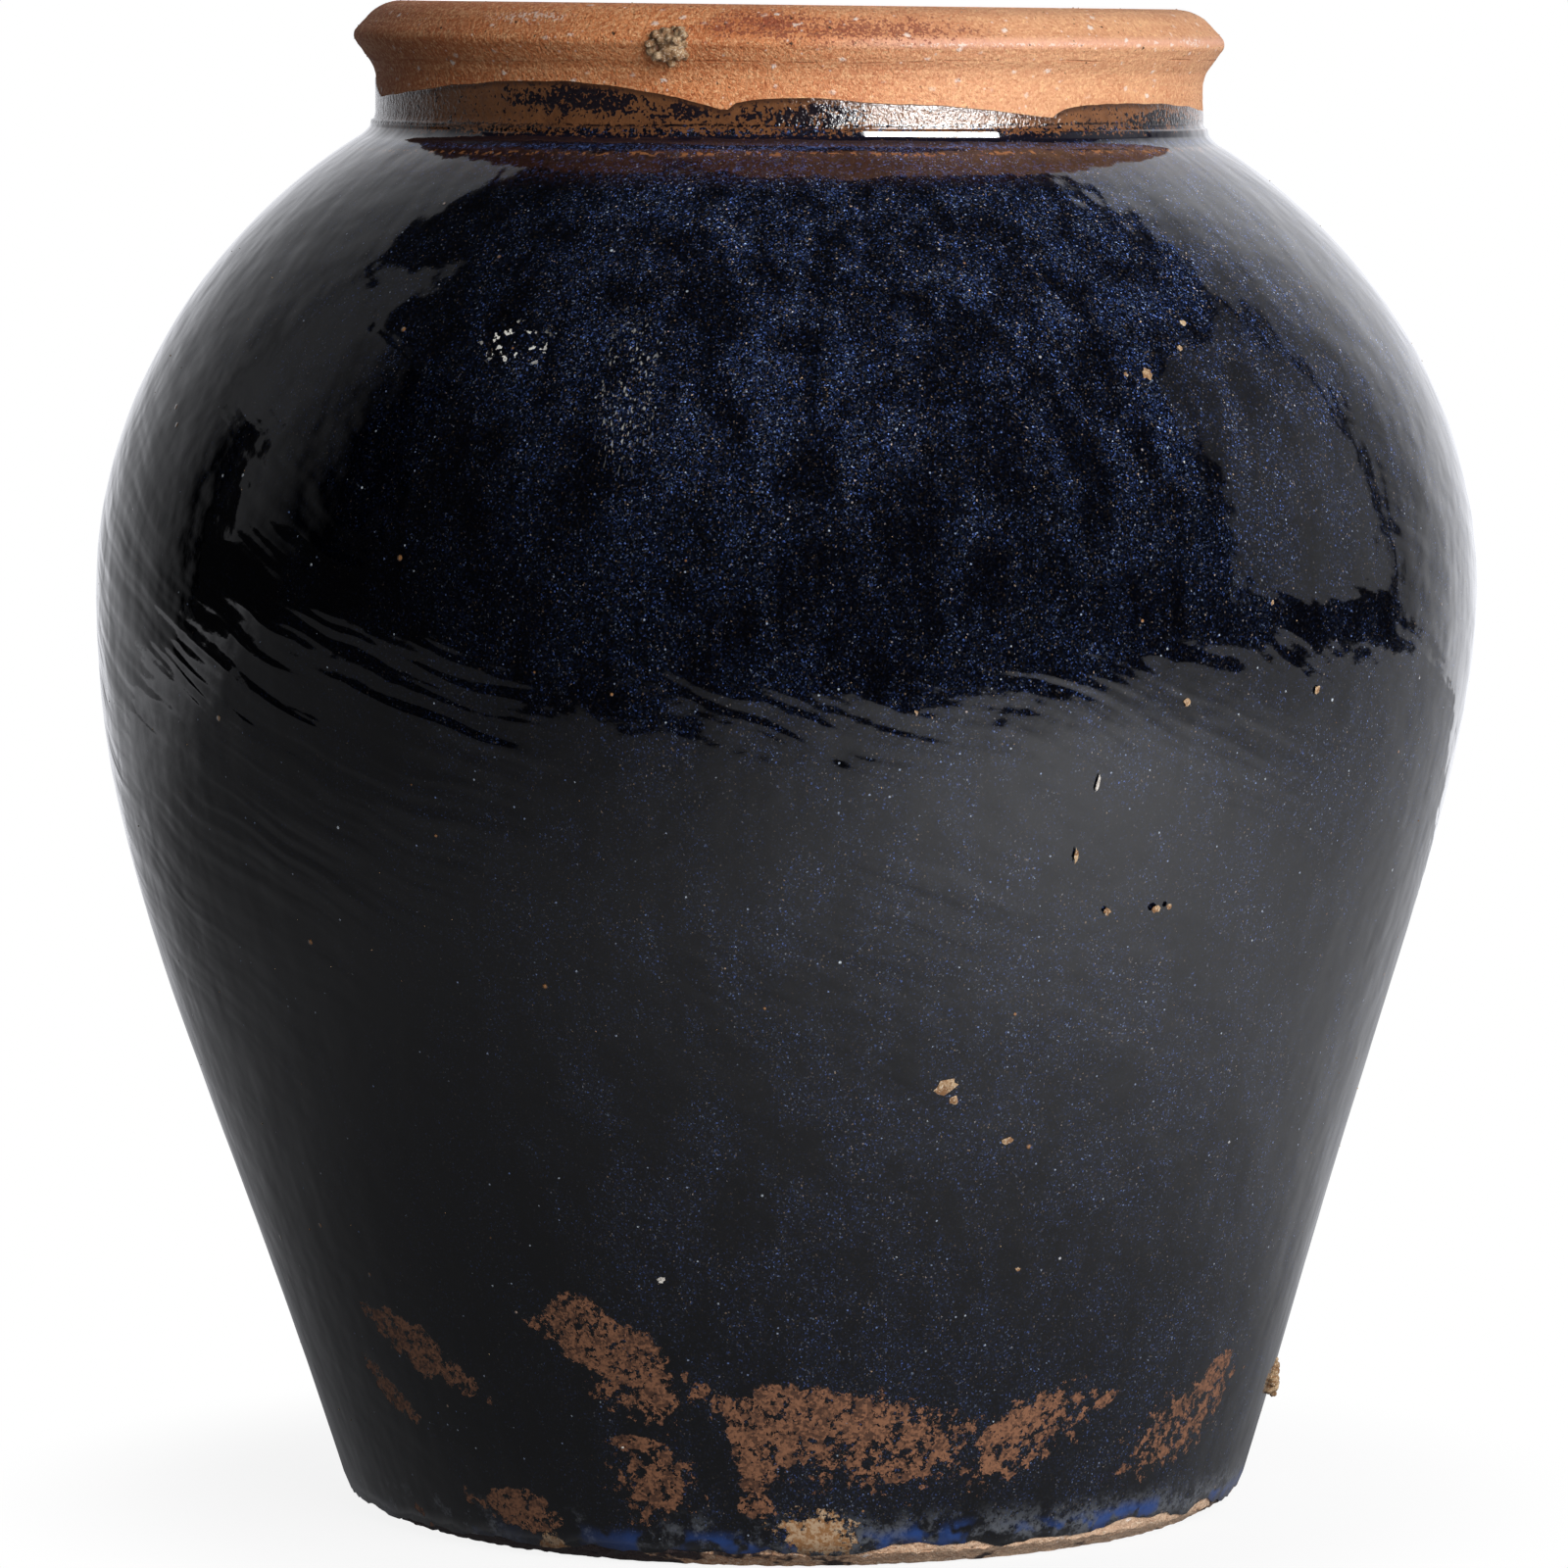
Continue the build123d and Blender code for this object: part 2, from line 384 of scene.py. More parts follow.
@dataclass(frozen=True)
class GlazeEdge:
    """The line where the outside glaze ends on the neck, a ring of lobes, and its ragged line at the foot."""

    lobes: int = 7
    lobe_phase: float = 0.609
    lobe_unevenness: float = 0.447
    lobe_stretch: float = 0.7188
    lobe_skews: Point = (0.55, 1.6)
    skew_azimuth: float = -8.7
    cusp_height: float = 492.7 * MM
    lobe_depth: float = 5.1 * MM
    slant: float = 4.0 * MM
    depth_slant: float = 4.4 * MM
    slant_azimuth: float = -80.0
    wander: float = 0.9 * MM
    remap_start: float = 489.0 * MM
    foot_line: float = 5.4 * MM
    foot_least: float = 3.6 * MM
    foot_wander: float = 7.0 * MM
    foot_bare: float = 2.5 * MM
    foot_bare_azimuth: float = 38.0
    foot_remap_end: float = 20.0 * MM
    thin_film: float = 0.75 * MM
    skew_blend: float = 0.02
    skew_ends: Point = (-3.0, -2.4)
    wander_scale: float = 70.0
    foot_scale: float = 34.0
    foot_bare_span: Point = (0.72, 0.95)

    def top(self, bench: Bench, azimuth: Wire, place: Wire) -> Wire:
        """Find the glaze's upper edge.

        Args:
            bench: where the nodes go.
            azimuth: the azimuth, in radians.
            place: where the edge's small wander is looked up.

        Returns:
            The edge's height at that azimuth.
        """
        turns = azimuth * (self.lobes / math.tau) - bench.math("COSINE", azimuth) * self.lobe_unevenness
        turns = turns + self.lobe_phase
        turns = bench.math("MINIMUM", turns, (turns - 1.0) * self.lobe_stretch + 1.0)
        along = bench.math("FRACT", turns + self.lobes)
        middle = math.radians(self.skew_azimuth)
        left = bench.step(azimuth, middle + self.skew_blend, middle - self.skew_blend)
        left = left * bench.step(azimuth, *self.skew_ends)
        across = abs(bench.math("POWER", along, between(left, *self.lobe_skews)) * 2.0 - 1.0)
        side = bench.math("MAXIMUM", bench.math("COSINE", azimuth - math.radians(self.slant_azimuth)), 0.0)
        arch = (1.0 - across * across) * (side * self.depth_slant + self.lobe_depth)
        wander = (bench.noise(place, self.wander_scale, 3.0) - 0.5) * (2.0 * self.wander)
        return arch + side * self.slant + wander + self.cusp_height

    def bottom(self, bench: Bench, azimuth: Wire, place: Wire) -> Wire:
        """Find the glaze's ragged lower edge.

        Args:
            bench: where the nodes go.
            azimuth: the azimuth, in radians.
            place: where the raggedness is looked up.

        Returns:
            The edge's height at that azimuth.
        """
        ragged = (bench.noise(place, self.foot_scale, 4.0, 0.65) - 0.5) * (2.0 * self.foot_wander)
        turned = bench.math("COSINE", azimuth - math.radians(self.foot_bare_azimuth))
        bare = bench.step(turned, *self.foot_bare_span) * self.foot_bare
        return bench.math("MAXIMUM", ragged + bare + self.foot_line, self.foot_least)


@dataclass(frozen=True)
class OutsideGlaze(Finish):
    """Blue-black glaze: cobalt specks over near-black, thin and brown on the neck, flaked near the foot.

    A zone is the pair of heights, or of distances from an edge, between which a mark sets in. A band is its
    middle height and half its width. Dots are their places to a metre, their share and their radius in
    spaces between places. A cloud is its scale, detail and roughness.
    """

    name: str = "outside_glaze"
    edge: GlazeEdge = GlazeEdge()
    night: Colour = (0.0004, 0.0004, 0.0009)
    cobalt: Colour = (0.17, 0.3, 0.88)
    icy_grain: Colour = (0.62, 0.78, 1.0)
    warm_grain: Colour = (0.9, 0.62, 0.4)
    grain_level: float = 0.0115
    grain_spread: float = 0.86
    bright_cobalt: Colour = (0.10, 0.16, 0.36)
    pale: Colour = (0.42, 0.47, 0.52)
    rust: Colour = (0.27, 0.13, 0.05)
    thin_brown: Colour = (0.2, 0.085, 0.035)
    # Painted light: the thin brown glaze on the jar's lit right side.
    painted_lit_brown: Colour = (0.27, 0.112, 0.042)
    deep_brown: Colour = (0.075, 0.03, 0.014)
    maroon: Colour = (0.022, 0.009, 0.008)
    ridge_blue: Colour = (0.012, 0.035, 0.14)
    band_blue: Colour = (0.05, 0.06, 0.16)
    flake: Colour = (0.21, 0.094, 0.049)
    deep_flake: Colour = (0.065, 0.03, 0.018)
    sandy: Colour = (0.42, 0.29, 0.18)
    pool: Colour = (0.014, 0.055, 0.22)
    dust: Colour = (0.13, 0.14, 0.16)
    salt_white: Colour = (0.7, 0.68, 0.62)
    rusty_brown: Colour = (0.24, 0.10, 0.04)
    band_black: Colour = (0.006, 0.005, 0.010)
    ridge_black: Colour = (0.004, 0.008, 0.03)
    speck_black: Colour = (0.004, 0.005, 0.010)
    groove_black: Colour = (0.003, 0.003, 0.005)
    fringe_brown: Colour = (0.045, 0.02, 0.012)
    gloss: float = 0.07
    worn_gloss: float = 0.2
    flake_roughness: float = 0.6
    thin_gloss: float = 0.1
    foot_gloss: float = 0.35
    facet_top: float = 488.3 * MM
    facet_ease: float = 0.6 * MM
    maroon_band: Point = (475.5 * MM, 8.0 * MM)
    rusty_band: Point = (480.2 * MM, 1.2 * MM)
    ridge_band: Point = (482.4 * MM, 1.7 * MM)
    dark_band: Point = (485.2 * MM, 3.4 * MM)
    groove_band: Point = (489.6 * MM, 0.8 * MM)
    band_wander: float = 2.0 * MM
    browned_wander: Point = (5.0 * MM, 4.5 * MM)
    browned_zone: Point = (487.0 * MM, 488.2 * MM)
    fringe_zone: Point = (2.6 * MM, 0.4 * MM)
    upper_zone: Point = (330 * MM, 440 * MM)
    worn_zone: Point = (300 * MM, 150 * MM)
    low_zone: Point = (40 * MM, 8 * MM)
    dust_zone: Point = (24 * MM, 9 * MM)
    pool_zone: Point = (9.0 * MM, 2.0 * MM)
    grain_scale: float = 2250.0
    grain_stretch: Place = (1.0, 1.0, 0.85)
    grain_ceiling: float = 1.012
    mottle_scale: float = 1100.0
    large_dots: Place = (62.0, 0.1, 0.075)
    medium_dots: Place = (120.0, 0.12, 0.085)
    small_dots: Place = (300.0, 0.12, 0.14)
    broad_cloud: Place = (55.0, 2.0, 0.6)
    fine_cloud: Place = (520.0, 2.0, 0.7)
    salt_cloud: Place = (380.0, 3.0, 0.6)
    patch_cloud: Place = (12.0, 3.0, 0.6)
    run_stretch: Place = (95.0, 95.0, 20.0)
    scratch_stretch: Place = (900.0, 900.0, 120.0)
    torn_cloud: Place = (75.0, 5.0, 0.68)
    hole_cloud: Place = (330.0, 3.0, 0.7)
    bit_cloud: Place = (230.0, 4.0, 0.75)
    fold: float = 0.8 * MM
    fold_gap: float = 20.0 * MM
    fold_bend: float = 0.3
    fold_scale: float = 36.0
    fold_reach: float = 170 * MM
    rib: float = 0.2 * MM
    rib_gap: float = 11.0 * MM
    rib_scale: float = 15.0
    dent: float = 0.85 * MM
    peel: float = 0.045 * MM
    proud_step: float = 0.25 * MM
    thin_step: float = 0.5 * MM
    flake_step: float = 0.3 * MM
    flake_grit: float = 0.12 * MM
    solid_flakes: tuple[Blot, ...] = (
        mark(-19.9, 79, 27, 13, -26.0),
        mark(-9.5, 65, 24, 2.2, -38.0),
        mark(3.5, 57, 33, 9, -6.0),
        mark(-3.6, 45, 14, 17),
        mark(-3.5, 22, 11, 3, -20.0),
        mark(-45.5, 73, 23, 8.5, -26.0),
        mark(-38.0, 60, 9, 2.2, -30.0),
        mark(-52.0, 52, 18, 5, -38.0),
        mark(-35.5, 17, 22, 7, -5.0),
        mark(-53.0, 9, 9, 2.4, -40.0),
        mark(26.0, 51, 19, 4.5, 25.0),
        mark(38.0, 56, 10, 2.2, 25.0),
        mark(56.5, 59, 15, 5.0, 22.0),
        mark(-18.0, 45, 15, 2.6),
    )
    speckled_flakes: tuple[Blot, ...] = (
        mark(-16.5, 32, 15, 12),
        mark(9.0, 46, 36, 14, -6.0),
        mark(28.0, 46, 26, 10, 22.0),
        mark(52.0, 43, 27, 11, 20.0),
        mark(-17.0, 62, 17, 6, -10.0),
        mark(150.0, 60, 40, 14, -20.0),
        mark(-128.0, 45, 36, 15, 10.0),
        mark(104.0, 58, 22, 11, 15.0),
    )
    sandy_patches: tuple[Blot, ...] = (
        mark(3.0, 13, 17, 9),
        mark(-31.0, 6, 9, 5),
    )
    thin_specks: tuple[Blot, ...] = (
        mark(-28.0, 497.0, 60, 7.5, -2.0),
        mark(4.0, 495.0, 36, 7.0),
        mark(63.0, 493.5, 46, 7.5),
        mark(-120.0, 497.0, 80, 5.5),
        mark(140.0, 494.0, 80, 5.5),
    )
    salt: Blot = mark(-24.6, 418, 15, 9, -10.0)
    scratches: Blot = mark(-13.5, 404, 12, 32)

    def fields(self, bench: Bench, azimuth: Wire, height: Wire) -> dict[str, Wire]:
        """Find the numbers that the coat's mesh carries for this finish.

        Args:
            bench: where the nodes go.
            azimuth: the azimuth of the point at hand, in radians.
            height: its height.

        Returns:
            The numbers, by name.
        """
        groups = {
            "solid_flakes": self.solid_flakes,
            "speckled_flakes": self.speckled_flakes,
            "sandy_patches": self.sandy_patches,
            "thin_specks": self.thin_specks,
            "salt": (self.salt,),
            "scratches": (self.scratches,),
        }
        return {name: nearness(bench, azimuth, height, blots) for name, blots in groups.items()}

    def specks(self, marks: Marks, cloud: Wire) -> Wire:
        """Lay the coat's colour: a mosaic of fine grains from near-black to bright, bluer above, dimmed on
        the left as painted shade.

        Args:
            marks: the coordinates.
            cloud: a cloudy pattern.

        Returns:
            The colour.
        """
        bench = marks.bench
        grains = bench.vector("MULTIPLY", marks.place, self.grain_stretch)
        _, draw, tint = bench.cells(grains, self.grain_scale)
        bright = bench.math("POWER", draw / (self.grain_ceiling - draw), self.grain_spread)
        upper = bench.step(marks.height, *self.upper_zone)
        wide = bench.noise(marks.place, *self.patch_cloud)
        runs = bench.noise(bench.vector("MULTIPLY", marks.place, self.run_stretch), 1.0, 2.0)
        patchy = bench.step(wide * 0.6 + cloud * 0.55 + runs * 0.85, 0.8, 1.2)
        # Painted shade: the grains are dimmed on the jar's left side.
        sunk = bench.step(marks.side, -0.1, -0.6) * 0.8
        crowd = between(upper, 0.33, 1.15) * between(patchy, 0.3, 1.75) * (1.0 - sunk)
        warmth = bench.step(tint, between(patchy, 0.62, 0.82), 1.0)
        hue = bench.mix(bench.step(tint, 0.42, 0.95), self.cobalt, self.icy_grain)
        hue = bench.mix(warmth, hue, self.warm_grain)
        shine = bench.scaled(hue, bright * crowd * self.grain_level)
        return bench.vector("ADD", shine, self.night)

    def flecks(self, marks: Marks, colour: Wire) -> tuple[Wire, Wire]:
        """Strew flecks, salt and scratches on the coat.

        Args:
            marks: the coordinates.
            colour: the coat's colour.

        Returns:
            The new colour, and where it stands proud.
        """
        bench, place = marks.bench, marks.place
        large, large_tint = bench.dots(place, *self.large_dots)
        medium, medium_tint = bench.dots(place, *self.medium_dots)
        small, small_tint = bench.dots(place, *self.small_dots)
        salt = bench.step(bench.field("salt"), 0.0, 0.5)
        salt = salt * bench.step(bench.noise(place, *self.salt_cloud), 0.61, 0.63)
        threads = bench.noise(bench.vector("MULTIPLY", place, self.scratch_stretch), 1.0, 1.0)
        scratch = bench.step(bench.field("scratches"), 0.0, 0.6)
        scratch = scratch * bench.step(threads, 0.62, 0.74) * 0.4
        tan = bench.mix(bench.step(large_tint, 0.7, 0.8), self.rust, self.sandy)
        colour = bench.mix(small * 0.75, colour, bench.mix(small_tint, self.bright_cobalt, self.pale))
        colour = bench.mix(medium, colour, bench.mix(bench.step(medium_tint, 0.5, 0.9), self.rust, self.pale))
        colour = bench.mix(large, colour, tan)
        colour = bench.mix(bench.math("MAXIMUM", salt, scratch), colour, self.salt_white)
        return colour, large + medium * 0.5 + salt

    def neck(self, marks: Marks, colour: Wire, cloud: Wire, speckle: Wire) -> tuple[Wire, Wire]:
        """Draw the bands under the neck, and the thin brown glaze on it.

        Args:
            marks: the coordinates.
            colour: the coat's colour.
            cloud: a cloudy pattern.
            speckle: a fine pattern.

        Returns:
            The new colour, and where the glaze is thin.
        """
        bench, place, z = marks.bench, marks.place, marks.height
        line = z + (cloud - 0.5) * self.band_wander
        fine = bench.noise(place, 900.0, 1.0)
        grain = speckle * 0.6 + fine * 0.4
        _, draw, _ = bench.cells(place, self.mottle_scale)
        band = bench.hump(line, *self.maroon_band)
        colour = bench.mix(band * bench.step(draw, 0.75, 0.2) * 0.85, colour, self.maroon)
        colour = bench.mix(band * bench.step(draw, 0.78, 0.95) * 0.5, colour, self.band_blue)
        rusty = bench.hump(line, *self.rusty_band)
        rusty = rusty * bench.step(bench.noise(place, 420.0, 2.0), 0.54, 0.6)
        colour = bench.mix(rusty, colour, self.rusty_brown)
        dark = bench.hump(line, *self.dark_band)
        colour = bench.mix(dark, colour, self.band_black)
        ridge = bench.hump(line, *self.ridge_band) * bench.step(grain, 0.42, 0.58)
        blue = bench.mix(fine, self.ridge_blue, self.bright_cobalt)
        colour = bench.mix(ridge, colour, bench.mix(draw * draw, self.ridge_black, blue))

        coarse, sharp = self.browned_wander
        mottled = line + (speckle - 0.5) * coarse + (draw - 0.5) * sharp
        browned = bench.step(mottled, *self.browned_zone)
        thin = bench.step(z, self.facet_top, self.facet_top + self.facet_ease)
        # Painted light: the thin brown glaze is lighter towards the jar's right side.
        brown = bench.mix(bench.step(marks.side, 0.3, 0.84), self.thin_brown, self.painted_lit_brown)
        brown = bench.mix(bench.noise(place, 150.0, 3.0, 0.6), brown, self.deep_brown)
        clusters = bench.field("thin_specks") + (bench.noise(place, 60.0, 3.0) - 0.5) * 2.4
        crowd = bench.step(clusters, -0.2, 0.7) * 0.17
        dark_specks = bench.step(grain, 0.585 - crowd, 0.61 - crowd)
        brown = bench.mix(dark_specks * 0.95, brown, self.speck_black)
        groove = bench.hump(line, *self.groove_band) * bench.step(grain, 0.44, 0.5)
        brown = bench.mix(groove, brown, self.groove_black)
        fringe = bench.step(bench.field("below_edge"), *self.fringe_zone)
        brown = bench.mix(fringe * 0.8, brown, self.fringe_brown)
        return bench.mix(browned, colour, brown), thin

    def ripples(self, marks: Marks) -> Wire:
        """Raise diagonal wrinkles round the belly, soft runs down the wall, dents, and peel.

        Args:
            marks: the coordinates.

        Returns:
            The relief, in metres.
        """
        bench, place, z = marks.bench, marks.place, marks.height
        bend = (bench.noise(place, 11.0, 2.0) - 0.5) * self.fold_bend
        turned = marks.azimuth + z * Hand.wrinkle_twist + bend
        across = bench.around(turned, Hand.wrinkle_radius / self.fold_gap, z * self.fold_scale)
        folds = bench.noise(across, 1.0, 1.0, 0.45)
        zone = bench.hump(z, Hand.wrinkle_height, self.fold_reach)
        zone = zone * bench.step(bench.noise(place, 9.0, 1.0), 0.3, 0.6)
        down = bench.around(marks.azimuth, Hand.wrinkle_radius / self.rib_gap, z * self.rib_scale)
        ribs = bench.noise(down, 1.0, 1.0, 0.4)
        dents = bench.noise(place, 42.0, 2.0, 0.45)
        peel = bench.noise(place, 230.0, 3.0)
        calm = bench.step(marks.side, 0.1, 0.48) * 0.45
        left = bench.step(marks.side, -0.1, -0.72) * 0.5 + 1.0 - calm
        relief = folds * (zone * 0.9 + 0.1) * left * self.fold + ribs * self.rib
        return relief + dents * self.dent + peel * self.peel

    def foot(self, marks: Marks, colour: Wire, cloud: Wire, speckle: Wire) -> tuple[Wire, Wire, Wire]:
        """Draw the foot, where the glaze has flaked, pooled and gathered dust.

        Args:
            marks: the coordinates.
            colour: the coat's colour.
            cloud: a cloudy pattern.
            speckle: a fine pattern.

        Returns:
            The new colour, where the glaze is lost, and where it is low enough to be dull.
        """
        bench, place, z = marks.bench, marks.place, marks.height
        low = bench.step(z, *self.low_zone)
        turned = bench.math("COSINE", marks.azimuth - math.radians(self.edge.foot_bare_azimuth))
        drift = bench.noise(place, 95.0, 4.0, 0.7) + bench.step(turned, 0.5, 0.95) * 0.1
        dust = bench.step(z, *self.dust_zone) * bench.step(drift, 0.52, 0.66)
        colour = bench.mix(dust * bench.step(speckle, 0.3, 0.6) * 0.7, colour, self.dust)
        wet = bench.step(bench.field("above_foot_line"), *self.pool_zone)
        wet = wet * bench.step(bench.noise(place, 52.0, 3.0, 0.6), 0.47, 0.55)
        wet = wet * between(bench.step(marks.side, -0.48, -0.3), 0.15, 1.0)
        colour = bench.mix(wet * bench.step(cloud, 0.3, 0.55), colour, self.pool)
        torn = (bench.noise(place, *self.torn_cloud) - 0.5) * 2.3
        holes = bench.step(bench.noise(place, *self.hole_cloud), 0.41, 0.46)
        flaked = bench.step(bench.field("solid_flakes") + torn, 0.0, 0.08) * holes
        bits = (bench.noise(place, *self.bit_cloud) - 0.5) * 4.4 + torn * 0.3 - 0.05
        crumbled = bench.math("MINIMUM", bench.field("speckled_flakes"), 0.2)
        speckled = bench.step(crumbled + bits, 0.0, 0.12)
        flaked = bench.math("MAXIMUM", flaked, speckled)
        _, draw, _ = bench.cells(place, self.mottle_scale)
        shade = bench.step(bench.noise(place, 140.0, 4.0, 0.75), 0.36, 0.64)
        brown = bench.mix(shade * 0.85 + (draw - 0.5) * 1.5, self.flake, self.deep_flake)
        colour = bench.mix(flaked, colour, brown)
        sandy = bench.step(bench.field("sandy_patches") + bits * 0.7 + torn * 0.5, 0.0, 0.2)
        colour = bench.mix(sandy, colour, bench.mix(bench.step(speckle, 0.4, 0.6), self.rust, self.sandy))
        return colour, bench.math("MAXIMUM", flaked, sandy), low

    def material(self) -> bpy.types.Material:
        """Build the finish.

        Returns:
            The material.
        """
        material, marks = self.start()
        bench, place = marks.bench, marks.place
        cloud = bench.noise(place, *self.broad_cloud)
        speckle = bench.noise(place, *self.fine_cloud)
        colour = self.specks(marks, cloud)
        colour, proud = self.flecks(marks, colour)
        colour, thin = self.neck(marks, colour, cloud, speckle)
        colour, flaked, low = self.foot(marks, colour, cloud, speckle)

        worn = bench.step(marks.height, *self.worn_zone)
        worn = worn * bench.step(bench.noise(place, 20.0, 4.0, 0.6), 0.35, 0.75)
        roughness = between(worn, self.gloss, self.worn_gloss)
        roughness = between(thin, roughness, self.thin_gloss)
        roughness = between(low * 0.5, roughness, self.foot_gloss)
        roughness = between(flaked, roughness, self.flake_roughness)
        grit = bench.noise(place, 1400.0, 2.0) * self.flake_grit
        relief = self.ripples(marks) + proud * self.proud_step + thin * (speckle * self.thin_step)
        relief = relief + flaked * (grit - self.flake_step)
        self.close(marks, colour, roughness, relief)
        return material


@dataclass(frozen=True)
class BareClay(Finish):
    """Unglazed stoneware: sandy, with throwing lines, pale specks, dark pits and a reddish blush, and painted
    light and shade.

    Bands, dots and clouds are said as in the outside glaze.
    """

    name: str = "bare_clay"
    clay: Colour = (0.6, 0.225, 0.088)
    # Painted light: the clay's colour on the jar's lit right side.
    painted_lit_clay: Colour = (0.62, 0.31, 0.165)
    deep: Colour = (0.34, 0.09, 0.032)
    pale: Colour = (0.8, 0.5, 0.27)
    blush: Colour = (0.19, 0.035, 0.022)
    pink: Colour = (0.66, 0.36, 0.27)
    # Painted shade: the colour of the clay's dark pits.
    pit_shade: Colour = (0.05, 0.03, 0.02)
    scuff: Colour = (0.75, 0.66, 0.6)
    roughness: float = 0.8
    mirroring: float = 0.2
    grain_height: float = 0.8 * MM
    line_height: float = 0.12 * MM
    lump_height: float = 0.3 * MM
    fine_height: float = 0.1 * MM
    pit_depth: float = 0.25 * MM
    crease_depth: float = 0.2 * MM
    pink_band: Point = (517.2 * MM, 2.8 * MM)
    stain: Colour = (0.008, 0.01, 0.018)
    stained: float = 0.0
    crease_band: Point = (510.9 * MM, 0.45 * MM)
    crease_wander: float = 2.4 * MM
    dark_dots: Place = (150.0, 0.28, 0.14)
    small_dark_dots: Place = (380.0, 0.09, 0.22)
    light_dots: Place = (130.0, 0.6, 0.22)
    light_stretch: Place = (1.0, 1.0, 1.7)
    small_light_dots: Place = (420.0, 0.1, 0.27)
    dot_raggedness: float = 2.4 * MM
    broad_cloud: Place = (34.0, 4.0, 0.6)
    sand_cloud: Place = (700.0, 2.0, 0.75)
    line_stretch: Place = (14.0, 14.0, 620.0)
    grain_scale: float = 1350.0
    coarse_scale: float = 620.0
    blush_marks: tuple[Blot, ...] = (
        mark(9.5, 521.5, 44, 4.0),
        mark(-2.0, 523.5, 26, 4.0),
    )
    scuff_marks: tuple[Blot, ...] = (
        mark(30.0, 516.5, 70, 0.8),
        mark(66.0, 517.0, 16, 2.0),
        mark(-37.0, 526.0, 26, 2.0),
    )

    def strewn(self, marks: Marks, colour: Wire) -> tuple[Wire, Wire]:
        """Strew dark and pale flecks on the clay.

        Args:
            marks: the coordinates.
            colour: the clay's colour.

        Returns:
            The new colour, and how deep it is pitted: the dark flecks are pits, sunk in relief and darkened
            as painted shade, and the large pale ones proud.
        """
        bench, place = marks.bench, marks.place
        ragged = bench.vector("ADD", place, bench.scaled(self.jitter(bench, place), self.dot_raggedness))
        dark, _ = bench.dots(ragged, *self.dark_dots)
        small_dark, _ = bench.dots(place, *self.small_dark_dots)
        light, tint = bench.dots(bench.vector("MULTIPLY", ragged, self.light_stretch), *self.light_dots)
        small_light, _ = bench.dots(place, *self.small_light_dots)
        colour = bench.mix(light * between(tint, 0.3, 0.95), colour, self.scuff)
        colour = bench.mix(small_light * 0.55, colour, self.scuff)
        # Painted shade: the pits are darkened in colour, besides being sunk in relief.
        colour = bench.mix(small_dark * 0.7, colour, self.pit_shade)
        colour = bench.mix(dark, colour, self.pit_shade)
        return colour, dark + small_dark * 0.5 - light * 0.4

    @staticmethod
    def jitter(bench: Bench, place: Wire) -> Wire:
        """Find a small random shift, which makes the outline of a dot ragged.

        Args:
            bench: where the nodes go.
            place: where the shift is looked up.

        Returns:
            The shift, half a unit long at most each way.
        """
        inputs = {"Vector": place, "Scale": 650.0, "Detail": 2.0}
        cloud = bench.wire("ShaderNodeTexNoise", {}, inputs, "Color")
        return bench.vector("SUBTRACT", cloud, (0.5, 0.5, 0.5))

    def material(self) -> bpy.types.Material:
        """Build the finish.

        Returns:
            The material.
        """
        material, marks = self.start()
        bench, place, z = marks.bench, marks.place, marks.height
        cloud = bench.noise(place, *self.broad_cloud)
        sand = bench.noise(place, *self.sand_cloud)
        lines = bench.noise(bench.vector("MULTIPLY", place, self.line_stretch), 1.0, 2.0, 0.6)
        distance, draw, tint = bench.cells(place, self.grain_scale)
        _, coarse_draw, coarse_tint = bench.cells(place, self.coarse_scale)
        # Painted light: the clay is lighter towards the jar's right side, with fewer dark clouds and grains
        # there.
        painted_light = bench.step(marks.side, -0.3, 0.72)
        colour = bench.mix(painted_light, self.clay, self.painted_lit_clay)
        # Painted shade: the jar's left side is darkened with the deep colour.
        colour = bench.mix(bench.step(marks.side, -0.48, -0.93) * 0.5, colour, self.deep)
        colour = bench.mix(bench.step(cloud, 0.42, 0.7) * between(painted_light, 0.45, 0.2), colour, self.deep)
        colour = bench.mix(bench.step(coarse_draw, 0.6, 1.0) * coarse_tint * 0.25, colour, self.pale)
        colour = bench.mix(bench.step(coarse_draw, 0.35, 0.0) * coarse_tint * 0.3, colour, self.deep)
        colour = bench.mix(bench.step(lines, 0.5, 0.7) * 0.2, colour, self.pale)
        colour = bench.mix(bench.step(draw, 0.45, 1.0) * between(tint, 0.15, 0.65), colour, self.pale)
        fine_share = between(tint, 0.2, 0.95) * between(painted_light, 1.0, 0.4)
        colour = bench.mix(bench.step(draw, 0.5, 0.0) * fine_share, colour, self.deep)
        band = bench.hump(z, *self.pink_band) * bench.step(marks.side, 0.0, 0.3)
        colour = bench.mix(band * 0.6, colour, self.pink)
        ragged = (sand - 0.5) * 3.4 + (cloud - 0.5) * 1.4
        uneven = (draw - 0.5) * 1.7 + (cloud - 0.5) * 1.4
        blush = bench.step(nearness(bench, marks.azimuth, z, self.blush_marks) + uneven, 0.32, 0.6)
        colour = bench.mix(blush * 0.8, colour, self.blush)
        scuff = bench.step(nearness(bench, marks.azimuth, z, self.scuff_marks) + ragged, 0.2, 0.9)
        colour = bench.mix(scuff * bench.step(sand, 0.48, 0.58) * 0.6, colour, self.scuff)
